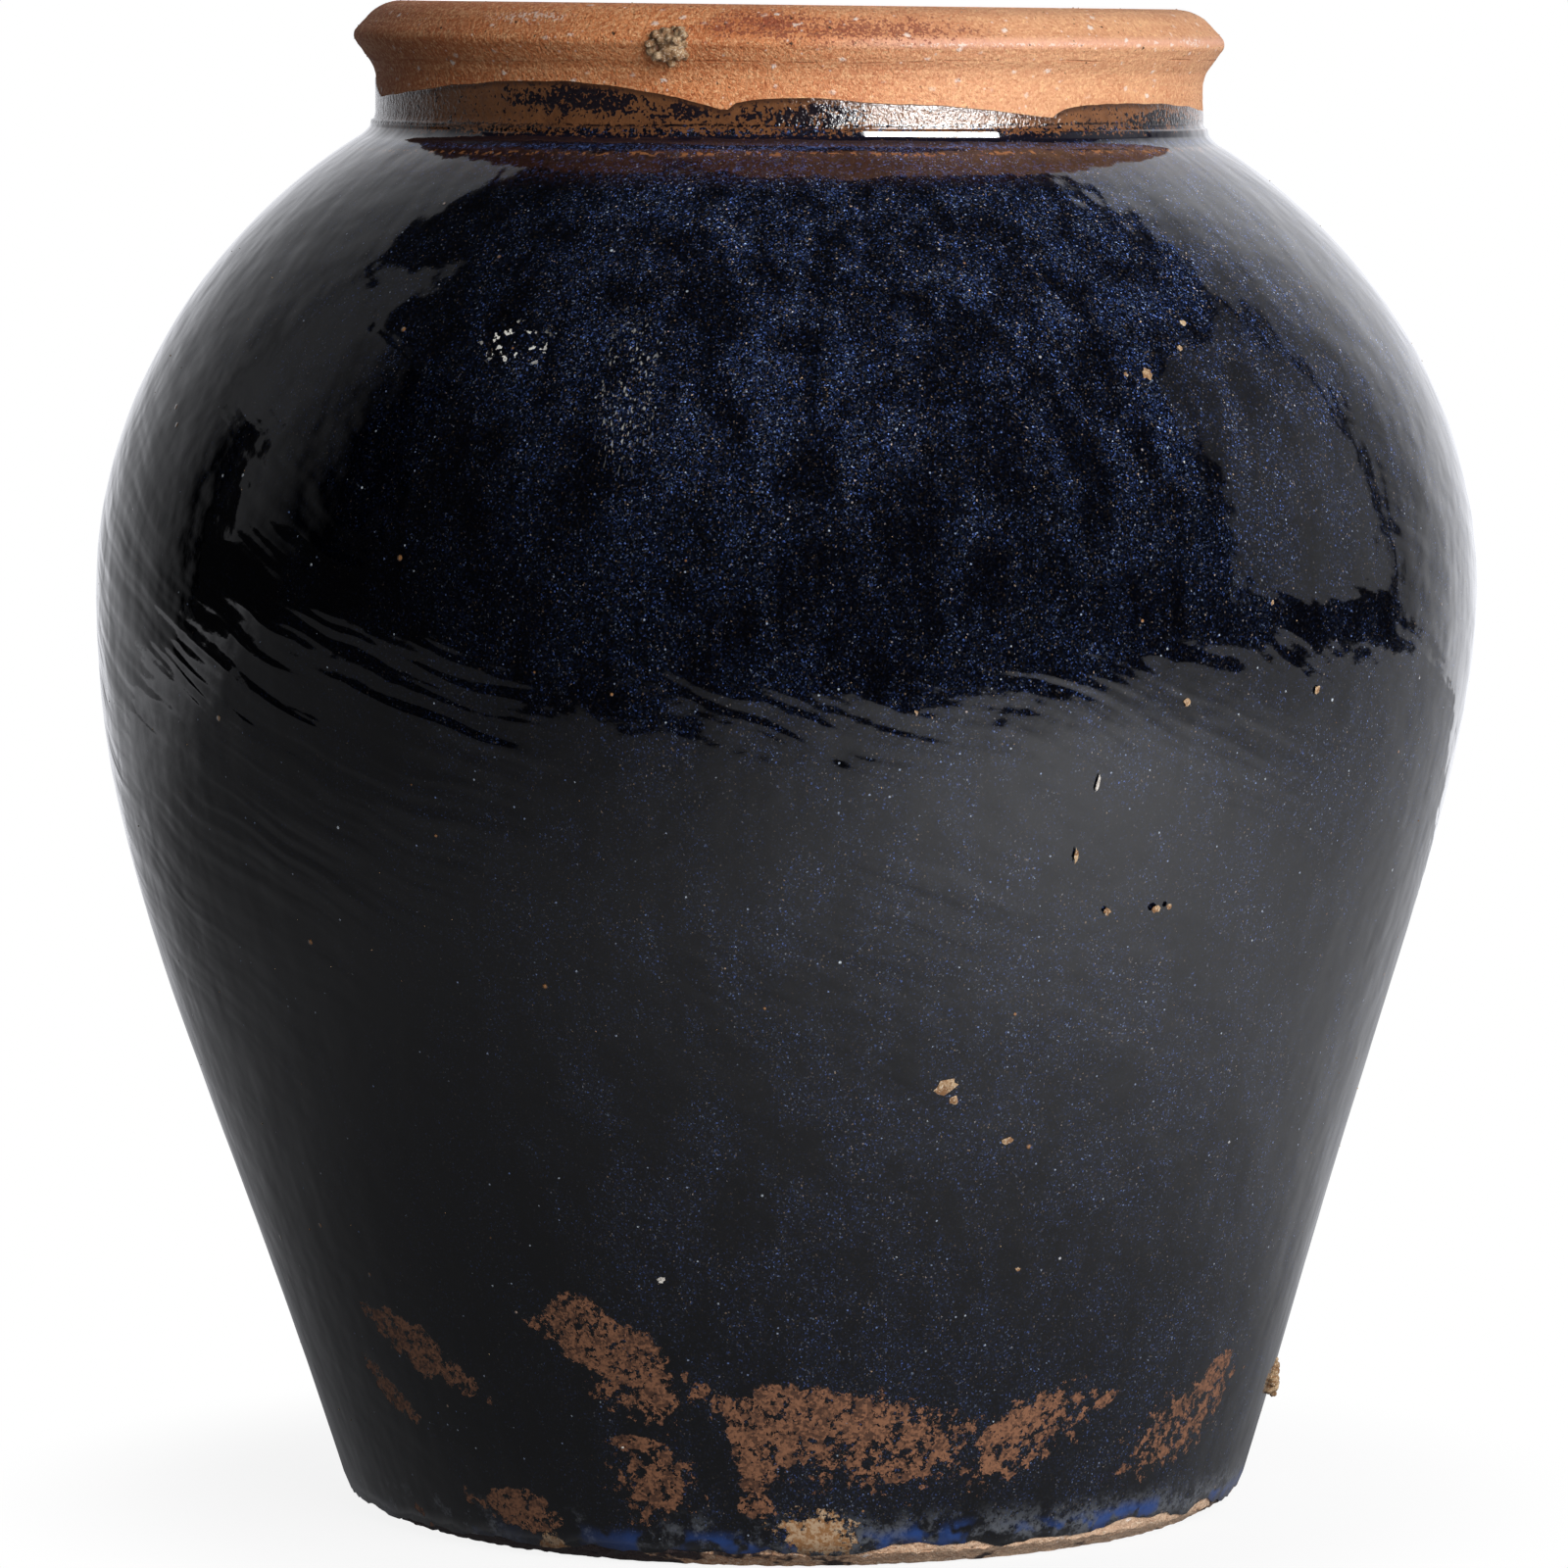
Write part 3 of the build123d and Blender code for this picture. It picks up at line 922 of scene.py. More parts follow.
        # Painted shade: the crease under the nose is darkened in colour, besides being sunk in relief.
        wavy = z + (bench.noise(place, 20.0, 2.0) - 0.5) * self.crease_wander
        shaded_crease = bench.hump(wavy, *self.crease_band) * bench.step(cloud, 0.42, 0.56)
        colour = bench.mix(shaded_crease * 0.5, colour, self.deep)
        colour, pits = self.strewn(marks, colour)
        stained = bench.noise(place, 52.0, 3.0, 0.65) + bench.step(marks.side, 0.1, -0.4) * 0.22
        colour = bench.mix(bench.step(stained, 0.54, 0.6) * self.stained, colour, self.stain)
        relief = sand * self.grain_height + lines * self.line_height + cloud * self.lump_height
        relief = relief - distance * self.fine_height - pits * self.pit_depth - shaded_crease * self.crease_depth
        self.close(marks, colour, self.roughness, relief, self.mirroring)
        return material


@dataclass(frozen=True)
class InsideGlaze(Finish):
    """The thin brown lining: satin, streaked where it ran down, darker in the throwing rings."""

    name: str = "inside_glaze"
    brown: Colour = (0.1, 0.045, 0.02)
    dark: Colour = (0.03, 0.014, 0.009)
    amber: Colour = (0.2, 0.095, 0.04)
    gloss: float = 0.12
    dullest: float = 0.34
    run_height: float = 0.3 * MM
    peel: float = 0.05 * MM

    def material(self) -> bpy.types.Material:
        """Build the finish.

        Returns:
            The material.
        """
        material, marks = self.start()
        bench, place = marks.bench, marks.place
        runs = bench.noise(bench.vector("MULTIPLY", place, (26.0, 26.0, 3.0)), 1.0, 3.0, 0.6)
        rings = bench.noise(bench.vector("MULTIPLY", place, (3.0, 3.0, 75.0)), 1.0, 2.0)
        speckle = bench.noise(place, 460.0, 2.0, 0.7)
        colour = bench.mix(bench.step(rings + (runs - 0.5), 0.35, 0.7), self.dark, self.brown)
        colour = bench.mix(bench.step(runs, 0.5, 0.8) * 0.6, colour, self.amber)
        colour = bench.mix(bench.step(speckle, 0.58, 0.68) * 0.7, colour, self.dark)
        relief = runs * self.run_height + speckle * self.peel
        self.close(marks, colour, between(runs, self.gloss, self.dullest), relief)
        return material


@dataclass(frozen=True)
class GritFinish(Finish):
    """Porous kiln grit: pale tan grains with painted shade in their hollows, and a few white ones."""

    name: str = "kiln_grit"
    tan: Colour = (0.42, 0.29, 0.17)
    brown: Colour = (0.2, 0.105, 0.05)
    white: Colour = (0.62, 0.56, 0.46)
    # Painted shade: the colour of the grit's hollows.
    hollow: Colour = (0.05, 0.03, 0.02)
    roughness: float = 0.85
    mirroring: float = 0.25
    sand_height: float = 0.12 * MM
    grain_height: float = 0.4 * MM

    def material(self) -> bpy.types.Material:
        """Build the finish.

        Returns:
            The material.
        """
        material, marks = self.start()
        bench, place = marks.bench, marks.place
        cloud = bench.noise(place, 260.0, 3.0, 0.7)
        sand = bench.noise(place, 1500.0, 2.0, 0.7)
        colour = bench.mix(bench.step(cloud, 0.42, 0.62), self.brown, self.tan)
        colour = bench.mix(bench.step(sand, 0.55, 0.7) * 0.7, colour, self.white)
        # Painted shade: the low points of the sand relief are darkened.
        colour = bench.mix(bench.step(sand, 0.42, 0.3) * 0.7, colour, self.hollow)
        relief = sand * self.sand_height + cloud * self.grain_height
        self.close(marks, colour, self.roughness, relief, self.mirroring)
        return material


class Recipe:
    """A Geometry Nodes tree with named inputs, which a mesh goes through and comes out plain."""

    def __init__(self, name: str, sizes: dict[str, Union[int, float]]) -> None:
        """Start a tree.

        Args:
            name: the tree's name.
            sizes: its inputs by name, each with the value that it has unless a piece gives another.
        """
        self.tree = bpy.data.node_groups.new(name, "GeometryNodeTree")
        face = self.tree.interface
        face.new_socket(name="Geometry", in_out="INPUT", socket_type="NodeSocketGeometry")
        for label, value in sizes.items():
            kind = "NodeSocketInt" if isinstance(value, int) else "NodeSocketFloat"
            face.new_socket(name=label, in_out="INPUT", socket_type=kind).default_value = value
        face.new_socket(name="Material", in_out="INPUT", socket_type="NodeSocketMaterial")
        face.new_socket(name="Geometry", in_out="OUTPUT", socket_type="NodeSocketGeometry")
        self.bench = Bench(self.tree)
        self.entry = self.tree.nodes.new("NodeGroupInput")
        self.build()

    def build(self) -> None:
        """Add the nodes between the inputs and the end. Each recipe has its own."""
        raise NotImplementedError

    def given(self, label: str) -> Wire:
        """One of the tree's inputs."""
        return Wire(self.bench, self.entry.outputs[label])

    def move(self, geometry: Wire, **changes: Wire) -> Wire:
        """Set the position of every point, or its offset."""
        inputs = {"Geometry": geometry, **changes}
        return self.bench.wire("GeometryNodeSetPosition", {}, inputs)

    def place(self) -> Wire:
        """The position of the point at hand."""
        return self.bench.wire("GeometryNodeInputPosition", {}, {})

    def end(self, geometry: Wire) -> None:
        """Close the tree: smooth faces, real meshes and the material.

        Args:
            geometry: what the tree gives.
        """
        smooth = self.bench.wire("GeometryNodeSetShadeSmooth", {}, {"Geometry": geometry})
        real = self.bench.wire("GeometryNodeRealizeInstances", {}, {"Geometry": smooth})
        dressed = self.bench.wire(
            "GeometryNodeSetMaterial", {}, {"Geometry": real, "Material": self.given("Material")}
        )
        self.bench.node("NodeGroupOutput", {}, {"Geometry": dressed})

    def run(self, mesh: bpy.types.Mesh, material: bpy.types.Material, **sizes: float) -> bpy.types.Mesh:
        """Put a mesh through the tree.

        Args:
            mesh: what goes in.
            material: what the result is dressed in.
            **sizes: the inputs that differ from their own values, with _ for a space in a name.

        Returns:
            The result as a plain mesh.
        """
        values = {name.replace("_", " "): value for name, value in sizes.items()}
        values["Material"] = material
        holder = bpy.data.objects.new(self.tree.name, mesh)
        bpy.context.scene.collection.objects.link(holder)
        modifier = holder.modifiers.new(self.tree.name, "NODES")
        modifier.node_group = self.tree
        for item in self.tree.interface.items_tree:
            if item.in_out == "INPUT" and item.name in values:
                modifier[item.identifier] = values.pop(item.name)
        if values:
            raise KeyError(f"{self.tree.name} has no input named {sorted(values)}")
        graph = bpy.context.evaluated_depsgraph_get()
        result = bpy.data.meshes.new_from_object(holder.evaluated_get(graph))
        bpy.data.objects.remove(holder)
        return result


class Turning(Recipe):
    """Turns a half section, a chain of points in the XZ plane, once round the axis."""

    def __init__(self) -> None:
        """Turns is the count of steps round the axis. Ring is 1 where the section closes on itself."""
        super().__init__("turned_half_section", {"Turns": 360, "Ring": 1})

    def build(self) -> None:
        """A grid, one column for each step and one row for each point, is rolled up on the section."""
        bench = self.bench
        section = self.given("Geometry")
        points = bench.wire("GeometryNodeAttributeDomainSize", {}, {"Geometry": section}, "Point Count")
        rows = points + self.given("Ring")
        sizes = {"Size X": 1.0, "Size Y": 1.0, "Vertices X": self.given("Turns") + 1, "Vertices Y": rows}
        grid = bench.wire("GeometryNodeMeshGrid", {}, sizes, "Mesh")
        across, up, _ = bench.split(self.place())
        row = bench.math("ROUND", (up + 0.5) * (rows - 1))
        sampling = {"Geometry": section, "Value": self.place(), "Index": bench.math("MODULO", row, points)}
        sampled = bench.wire("GeometryNodeSampleIndex", {"data_type": "FLOAT_VECTOR"}, sampling)
        radius, _, height = bench.split(sampled)
        angle = (across + 0.5) * math.tau
        rolled = self.move(grid, Position=bench.around(angle, radius, height))
        merging = {"Geometry": rolled, "Distance": MERGE_DISTANCE}
        self.end(bench.wire("GeometryNodeMergeByDistance", {}, merging))


class GlazeLine(Recipe):
    """Draws the coat's upper edge into lobes and its lower edge into a ragged line, and maps its marks."""

    def __init__(
        self, finish: OutsideGlaze, section_top: float, section_bottom: float, foot_slope: float
    ) -> None:
        """Keep what the edges are drawn from.

        Args:
            finish: the glaze, with its edge and its marks.
            section_top: the height where the turned section ends above.
            section_bottom: the height where it ends below.
            foot_slope: how far the wall leans outwards there, to each unit of height.
        """
        self.finish = finish
        self.edge = finish.edge
        self.section_top = section_top
        self.section_bottom = section_bottom
        self.foot_slope = foot_slope
        super().__init__("glaze_line", {"Lobe Share": 1.0})

    def build(self) -> None:
        """Heights near either end are stretched to the edge's own height at that azimuth."""
        bench, edge = self.bench, self.edge
        place = self.place()
        x, y, z = bench.split(place)
        azimuth = bench.math("ARCTAN2", x, -y)
        share = self.given("Lobe Share")
        flat = bench.vector("MULTIPLY", place, (1.0, 1.0, 0.0))
        top = edge.top(bench, azimuth, bench.join(x, y, self.section_top)) - self.section_top
        rise = bench.math("MAXIMUM", (z - edge.remap_start) / (self.section_top - edge.remap_start), 0.0)
        bottom = edge.bottom(bench, azimuth, flat) - self.section_bottom
        reach = edge.foot_remap_end - self.section_bottom
        fall = bench.math("MAXIMUM", (edge.foot_remap_end - z) / reach, 0.0)
        lift = (rise * top + fall * bottom) * share
        outwards = bench.vector("NORMALIZE", flat)
        spread = bench.scaled(outwards, fall * bottom * share * self.foot_slope)
        offset = bench.vector("ADD", spread, bench.join(0.0, 0.0, lift))
        fields = self.finish.fields(bench, azimuth, z)
        fields["below_edge"] = (1.0 - rise) * (top + self.section_top - edge.remap_start)
        fields["above_foot_line"] = bench.math("MAXIMUM", z + lift - edge.bottom(bench, azimuth, flat), 0.0)
        geometry = self.given("Geometry")
        for name, value in fields.items():
            geometry = bench.store(geometry, name, value)
        self.end(self.move(geometry, Offset=offset))


class Hand(Recipe):
    """The marks of the hand: a lean, a tilted rim, soft lumps, diagonal wrinkles and throwing rings.

    A zone is the pair of heights between which a mark sets in.
    """

    lean_start = 100 * MM
    lean_wave = 440 * MM
    lean_zone = (360 * MM, 260 * MM)
    head_shift = 0.9 * MM
    head_zone = (420 * MM, 500 * MM)
    tilt_zone = (380 * MM, 490 * MM)
    wrinkle_fall = 22.0
    wrinkle_radius = 240 * MM
    wrinkle_twist = 1.0 / (wrinkle_radius * math.tan(math.radians(wrinkle_fall)))
    wrinkle_gap = 40 * MM
    wrinkle_rise = 45 * MM
    wrinkle_height = 300 * MM
    wrinkle_reach = 190 * MM

    def __init__(self) -> None:
        """Each size is how far that mark moves the surface, but for Tilt, a slope, and Ring Scale."""
        sizes = {
            "Lean": 2.3 * MM,
            "Tilt": 0.0117,
            "Lump": 1.1 * MM,
            "Wrinkle": 0.0,
            "Ring": 0.0,
            "Ring Scale": 90.0,
            "Grain": 0.0,
        }
        super().__init__("marks_of_the_hand", sizes)

    def build(self) -> None:
        """Every mark is a function of place alone, so pieces that touch move together."""
        bench = self.bench
        place = self.place()
        x, y, z = bench.split(place)
        azimuth = bench.math("ARCTAN2", x, -y)
        wave = bench.math("SINE", (z - self.lean_start) * (math.tau / self.lean_wave))
        lean = -self.given("Lean") * wave * bench.step(z, *self.lean_zone)
        lean = lean + bench.step(z, *self.head_zone) * self.head_shift
        lift = -self.given("Tilt") * x * bench.step(z, *self.tilt_zone)
        lump = self.given("Lump") * (bench.noise(place, 6.0, 1.0) - 0.5) * 2.0

        turned = azimuth + z * self.wrinkle_twist
        reach = self.wrinkle_radius / self.wrinkle_gap
        folds = bench.noise(bench.around(turned, reach, z * (1 / self.wrinkle_rise)), 1.0, 1.0)
        zone = bench.hump(z, self.wrinkle_height, self.wrinkle_reach)
        zone = zone * bench.step(bench.noise(place, 7.0, 1.0), 0.3, 0.6)
        wrinkle = self.given("Wrinkle") * (folds - 0.5) * 2.0 * (zone * 0.85 + 0.15)

        flat_ring = bench.join(x * 4.0, y * 4.0, z * self.given("Ring Scale"))
        ring = self.given("Ring") * (bench.noise(flat_ring, 1.0, 1.0) - 0.5) * 2.0
        grain = self.given("Grain") * (bench.noise(place, 420.0, 2.0, 0.6) - 0.5) * 2.0

        normal = bench.wire("GeometryNodeInputNormal", {}, {})
        outwards = bench.vector("NORMALIZE", bench.join(x, y, 0.0))
        surface = bench.scaled(normal, wrinkle + ring + grain)
        body = bench.scaled(outwards, lump)
        shift = bench.vector("ADD", bench.join(lean, 0.0, lift), bench.vector("ADD", body, surface))
        self.end(self.move(self.given("Geometry"), Offset=shift))


class Scatter(Recipe):
    """Strews small grains on the outward faces of a piece, half sunk, between two heights."""

    def __init__(self) -> None:
        """Density is grains to a square metre, and the radii are the least and the greatest half size."""
        sizes = {
            "Density": 2000.0,
            "Low": 0.0,
            "High": 1.0,
            "Least Radius": 0.1 * MM,
            "Greatest Radius": 0.3 * MM,
            "Seed": 1,
        }
        super().__init__("scattered_grains", sizes)

    def build(self) -> None:
        """Points on the carrier's chosen faces each get a small rounded grain of its own size and turn."""
        bench = self.bench
        x, y, z = bench.split(self.place())
        normal = bench.wire("GeometryNodeInputNormal", {}, {})
        directions = {0: bench.join(x, y, 0.0), 1: normal}
        outwards = bench.wire("ShaderNodeVectorMath", {"operation": "DOT_PRODUCT"}, directions)
        faces_out = bench.math("GREATER_THAN", outwards, 0.0)
        high_enough = bench.math("GREATER_THAN", z, self.given("Low"))
        low_enough = bench.math("LESS_THAN", z, self.given("High"))
        strewing = {
            "Mesh": self.given("Geometry"),
            "Selection": faces_out * high_enough * low_enough,
            "Density": self.given("Density"),
            "Seed": self.given("Seed"),
        }
        spreading = {"distribute_method": "RANDOM"}
        points = bench.wire("GeometryNodeDistributePointsOnFaces", spreading, strewing)
        size = bench.drawn(self.given("Least Radius"), self.given("Greatest Radius"), 3)
        shape = bench.drawn((0.6, 0.6, 0.6), (1.4, 1.4, 1.2), 5)
        turn = bench.drawn((0.0, 0.0, 0.0), (math.tau, math.tau, math.tau), 7)
        grain = bench.wire("GeometryNodeMeshIcoSphere", {}, {"Radius": 1.0, "Subdivisions": 1}, "Mesh")
        scale = bench.scaled(shape, size)
        placing = {"Points": points, "Instance": grain, "Rotation": turn, "Scale": scale}
        self.end(bench.wire("GeometryNodeInstanceOnPoints", {}, placing))


class Fusing(Recipe):
    """Fuses grains drawn in an ellipsoid, each about its own point, into one porous lump."""

    def __init__(self) -> None:
        """Width, Depth and Height are half sizes of the ellipsoid that the grains' middles lie in."""
        sizes = {
            "Grains": 40,
            "Width": 5.0 * MM,
            "Depth": 2.5 * MM,
            "Height": 4.0 * MM,
            "Least Radius": 1.2 * MM,
            "Greatest Radius": 2.6 * MM,
            "Pits": 0.9 * MM,
            "Cell": 0.35 * MM,
            "Seed": 1,
        }
        super().__init__("fused_grains", sizes)

    def build(self) -> None:
        """Spheres on random points become one skin, which a fine noise then pits."""
        bench = self.bench
        seed = self.given("Seed")
        draw = bench.drawn((-1.0, -1.0, -1.0), (1.0, 1.0, 1.0), seed)
        half = bench.join(self.given("Width"), self.given("Depth"), self.given("Height"))
        inside = bench.vector("NORMALIZE", draw)
        spread = bench.drawn(0.15, 1.0, seed + 1)
        middle = bench.vector("MULTIPLY", bench.scaled(inside, spread), half)
        points = bench.wire("GeometryNodePoints", {}, {"Count": self.given("Grains"), "Position": middle})
        size = bench.drawn(self.given("Least Radius"), self.given("Greatest Radius"), seed + 2)
        ball = bench.wire("GeometryNodeMeshIcoSphere", {}, {"Radius": 1.0, "Subdivisions": 3}, "Mesh")
        placing = {"Points": points, "Instance": ball, "Scale": bench.join(size, size, size)}
        balls = bench.wire("GeometryNodeInstanceOnPoints", {}, placing)
        solid = bench.wire("GeometryNodeRealizeInstances", {}, {"Geometry": balls})
        filling = {"Mesh": solid, "Voxel Size": self.given("Cell"), "Interior Band Width": 1.0 * MM}
        volume = bench.wire("GeometryNodeMeshToVolume", {"resolution_mode": "VOXEL_SIZE"}, filling)
        skin = bench.wire("GeometryNodeVolumeToMesh", {}, {"Volume": volume, "Threshold": 0.2})
        normal = bench.wire("GeometryNodeInputNormal", {}, {})
        holes = bench.noise(self.place(), 420.0, 3.0, 0.65)
        self.end(self.move(skin, Offset=bench.scaled(normal, (holes - 0.55) * 2.0 * self.given("Pits"))))


@dataclass(frozen=True)
class Outline:
    """The clay's half section: the sizes come from the frame, and the curves from the wall's leans."""

    height: float
    belly_radius: float
    belly_height: float
    shoulder_height: float
    foot_radius: float = 156.8 * MM
    neck_radius: float = 145.2 * MM
    neck_wall: float = 10.2 * MM
    neck_start: float = 491.5 * MM
    base_thickness: float = 14.0 * MM
    wall_at_foot: float = 13.0 * MM
    wall_at_belly: float = 11.0 * MM
    wall_at_shoulder: float = 9.5 * MM
    coil_radius: float = 18.0 * MM
    flare_reach: float = 6.6 * MM
    foot_lean: float = 16.7
    shoulder_lean: float = 59.0
    lower_handles: Point = (0.589, 0.243)
    upper_handles: Point = (0.549, 0.208)
    flare_handles: Point = (0.42, 0.42)

    @classmethod
    def from_frame(cls) -> "Outline":
        """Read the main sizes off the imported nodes.

        Returns:
            The outline.
        """
        shoulder_low, shoulder_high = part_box("shoulder_wall")
        return cls(
            height=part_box("rim_roll")[1].z,
            belly_radius=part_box("belly_wall")[1].x,
            belly_height=shoulder_low.z,
            shoulder_height=shoulder_high.z,
        )

    @property
    def mouth_radius(self) -> float:
        """The neck's inner radius."""
        return self.neck_radius - self.neck_wall

    @property
    def foot_slope(self) -> float:
        """How far the wall leans outwards at the foot, to each unit of height."""
        return math.tan(math.radians(self.foot_lean))

    @property
    def belly(self) -> Point:
        """Where the wall is widest."""
        return self.belly_radius, self.belly_height

    @property
    def shoulder(self) -> Point:
        """Where the shoulder ends and the flare into the neck starts."""
        return self.neck_radius + self.flare_reach, self.shoulder_height

    @staticmethod
    def span(start: Point, end: Point, leans: Point, handle_shares: Point) -> list[Vector]:
        """Draw a smooth curve between two points.

        Args:
            start: where it starts.
            end: where it ends.
            leans: how far inwards it leans at either end, in degrees.
            handle_shares: how long its handles are, as shares of its rise.

        Returns:
            The curve's four control points.
        """
        rise = end[1] - start[1]
        first, last = Vector(start), Vector(end)
        away, home = (Vector((-math.sin(math.radians(a)), math.cos(math.radians(a)))) for a in leans)
        return [first, first + away * rise * handle_shares[0], last - home * rise * handle_shares[1], last]

    @property
    def lower(self) -> list[Vector]:
        """The curve of the wall from the foot to the belly."""
        return self.span((self.foot_radius, 0.0), self.belly, (-self.foot_lean, 0.0), self.lower_handles)

    @property
    def upper(self) -> list[Vector]:
        """The curve of the wall from the belly to the end of the shoulder."""
        return self.span(self.belly, self.shoulder, (0.0, self.shoulder_lean), self.upper_handles)

    @property
    def flare(self) -> list[Vector]:
        """The short curve from the shoulder into the neck."""
        neck = (self.neck_radius, self.neck_start)
        return self.span(self.shoulder, neck, (self.shoulder_lean, 0.0), self.flare_handles)

    @staticmethod
    def beside(span: Sequence[Vector], rows: int, start_depth: float, end_depth: float) -> list[Point]:
        """Find points along a curve, inside it or outside it.

        Args:
            span: the curve's four control points.
            rows: how many steps there are.
            start_depth: how deep inside the curve the first point lies, or outside it if negative.
            end_depth: the same for the last point.

        Returns:
            The points.
        """
        a, b, c, d = span
        points = []
        for row in range(rows + 1):
            t = row / rows
            s = 1 - t
            on = a * s**3 + b * (3 * s * s * t) + c * (3 * s * t * t) + d * t**3
            along = ((b - a) * (s * s) + (c - b) * (2 * s * t) + (d - c) * (t * t)).normalized()
            depth = start_depth + (end_depth - start_depth) * t
            points.append((on.x - along.y * depth, on.y + along.x * depth))
        return points

    def skin(self, height: float, cover: float) -> tuple[float, float]:
        """Find the outer face of a coat on the wall.

        Args:
            height: the height at which it is asked for.
            cover: the coat's thickness.

        Returns:
            The radius of the face there, and how far it leans inwards, in radians.
        """
        rows = 60
        chain = [p for span in (self.lower, self.upper) for p in self.beside(span, rows, -cover, -cover)]
        index = next(i for i, point in enumerate(chain) if point[1] > height)
        below, above = chain[index - 1], chain[index]
        share = (height - below[1]) / (above[1] - below[1])
        radius = below[0] + (above[0] - below[0]) * share
        return radius, math.atan2(below[0] - above[0], above[1] - below[1])

    def hollow(self, rows: int, lining: float) -> list[Point]:
        """Find the inner face of the wall, within a lining.

        Args:
            rows: how many steps there are to the belly, and again from there.
            lining: the lining's thickness.

        Returns:
            Its points, up to the end of the shoulder.
        """
        lower = self.beside(self.lower, rows, self.wall_at_foot + lining, self.wall_at_belly + lining)
        upper = self.beside(self.upper, rows, self.wall_at_belly + lining, self.wall_at_shoulder + lining)
        return lower[:-1] + upper


def rounded(corners: Sequence[tuple[float, float, float]], steps: int = 8) -> list[Point]:
    """A chain of straight runs with rounded corners.

    Args:
        corners: radius from the axis, height, and the rounding at each point, which is 0 at the ends.
        steps: how many chords each rounding has.

    Returns:
        The points of the chain.
    """
    points = [(corners[0][0], corners[0][1])]
    for before, corner, after in zip(corners, corners[1:], corners[2:]):
        at = Vector(corner[:2])
        back = (Vector(before[:2]) - at).normalized()
        ahead = (Vector(after[:2]) - at).normalized()
        half = back.angle(ahead) / 2
        middle = at + (back + ahead).normalized() * (corner[2] / math.sin(half))
        start = at + back * (corner[2] / math.tan(half)) - middle
        end = at + ahead * (corner[2] / math.tan(half)) - middle
        turn = start.angle_signed(end)
        for step in range(steps + 1):
            angle = -turn * step / steps
            spoke = Matrix.Rotation(angle, 2) @ start
            points.append(tuple(middle + spoke))
    points.append((corners[-1][0], corners[-1][1]))
    return points


def spaced(points: Sequence[Point], gap: float) -> list[Point]:
    """Add points to a chain.

    Args:
        points: the chain.
        gap: how long a chord may be.

    Returns:
        The chain with its long chords cut evenly and its doubled points left out.
    """
    found = [points[0]]
    for start, end in zip(points, points[1:]):
        length = math.dist(start, end)
        if length < SHORTEST_CHORD:
            continue
        pieces = max(1, math.ceil(length / gap))
        for piece in range(1, pieces + 1):
            share = piece / pieces
            found.append((start[0] + (end[0] - start[0]) * share, start[1] + (end[1] - start[1]) * share))
    return found


def section_mesh(name: str, points: Sequence[Point]) -> bpy.types.Mesh:
    """Make a half section.

    Args:
        name: the mesh's name.
        points: the section's chain.

    Returns:
        The points in the XZ plane, in their order.
    """
    mesh = bpy.data.meshes.new(name)
    mesh.from_pydata([(radius, 0.0, height) for radius, height in points], [], [])
    return mesh


def add_piece(name: str, mesh: bpy.types.Mesh, nodes: Sequence[str] = ()) -> bpy.types.Object:
    """Show a finished mesh as a piece of the jar.

    Args:
        name: the piece's name.
        mesh: its mesh, in place and dressed.
        nodes: the CAD nodes that it stands for.

    Returns:
        The piece, which rides on the jar's one body.
    """
    mesh.name = name
    piece = bpy.data.objects.new(name, mesh)
    bpy.context.scene.collection.objects.link(piece)
    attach(piece, BODY)
    if nodes:
        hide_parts(*nodes)
    mesh.calc_loop_triangles()
    logger.info("%s: %d triangles", name, len(mesh.loop_triangles))
    return piece


@dataclass
class Workshop:
    """The outline and the recipes that every sub-assembly is made with."""

    outline: Outline
    turning: Turning
    hand: Hand

    def turn(
        self,
        name: str,
        section: Sequence[Point],
        material: bpy.types.Material,
        turns: int,
        ring: int = 1,
        **marks: float,
    ) -> bpy.types.Mesh:
        """Turn a half section, which closes on itself if ring is 1, and give it the marks of the hand."""
        turned = self.turning.run(section_mesh(name, section), material, Turns=turns, Ring=ring)
        return self.hand.run(turned, material, **marks)


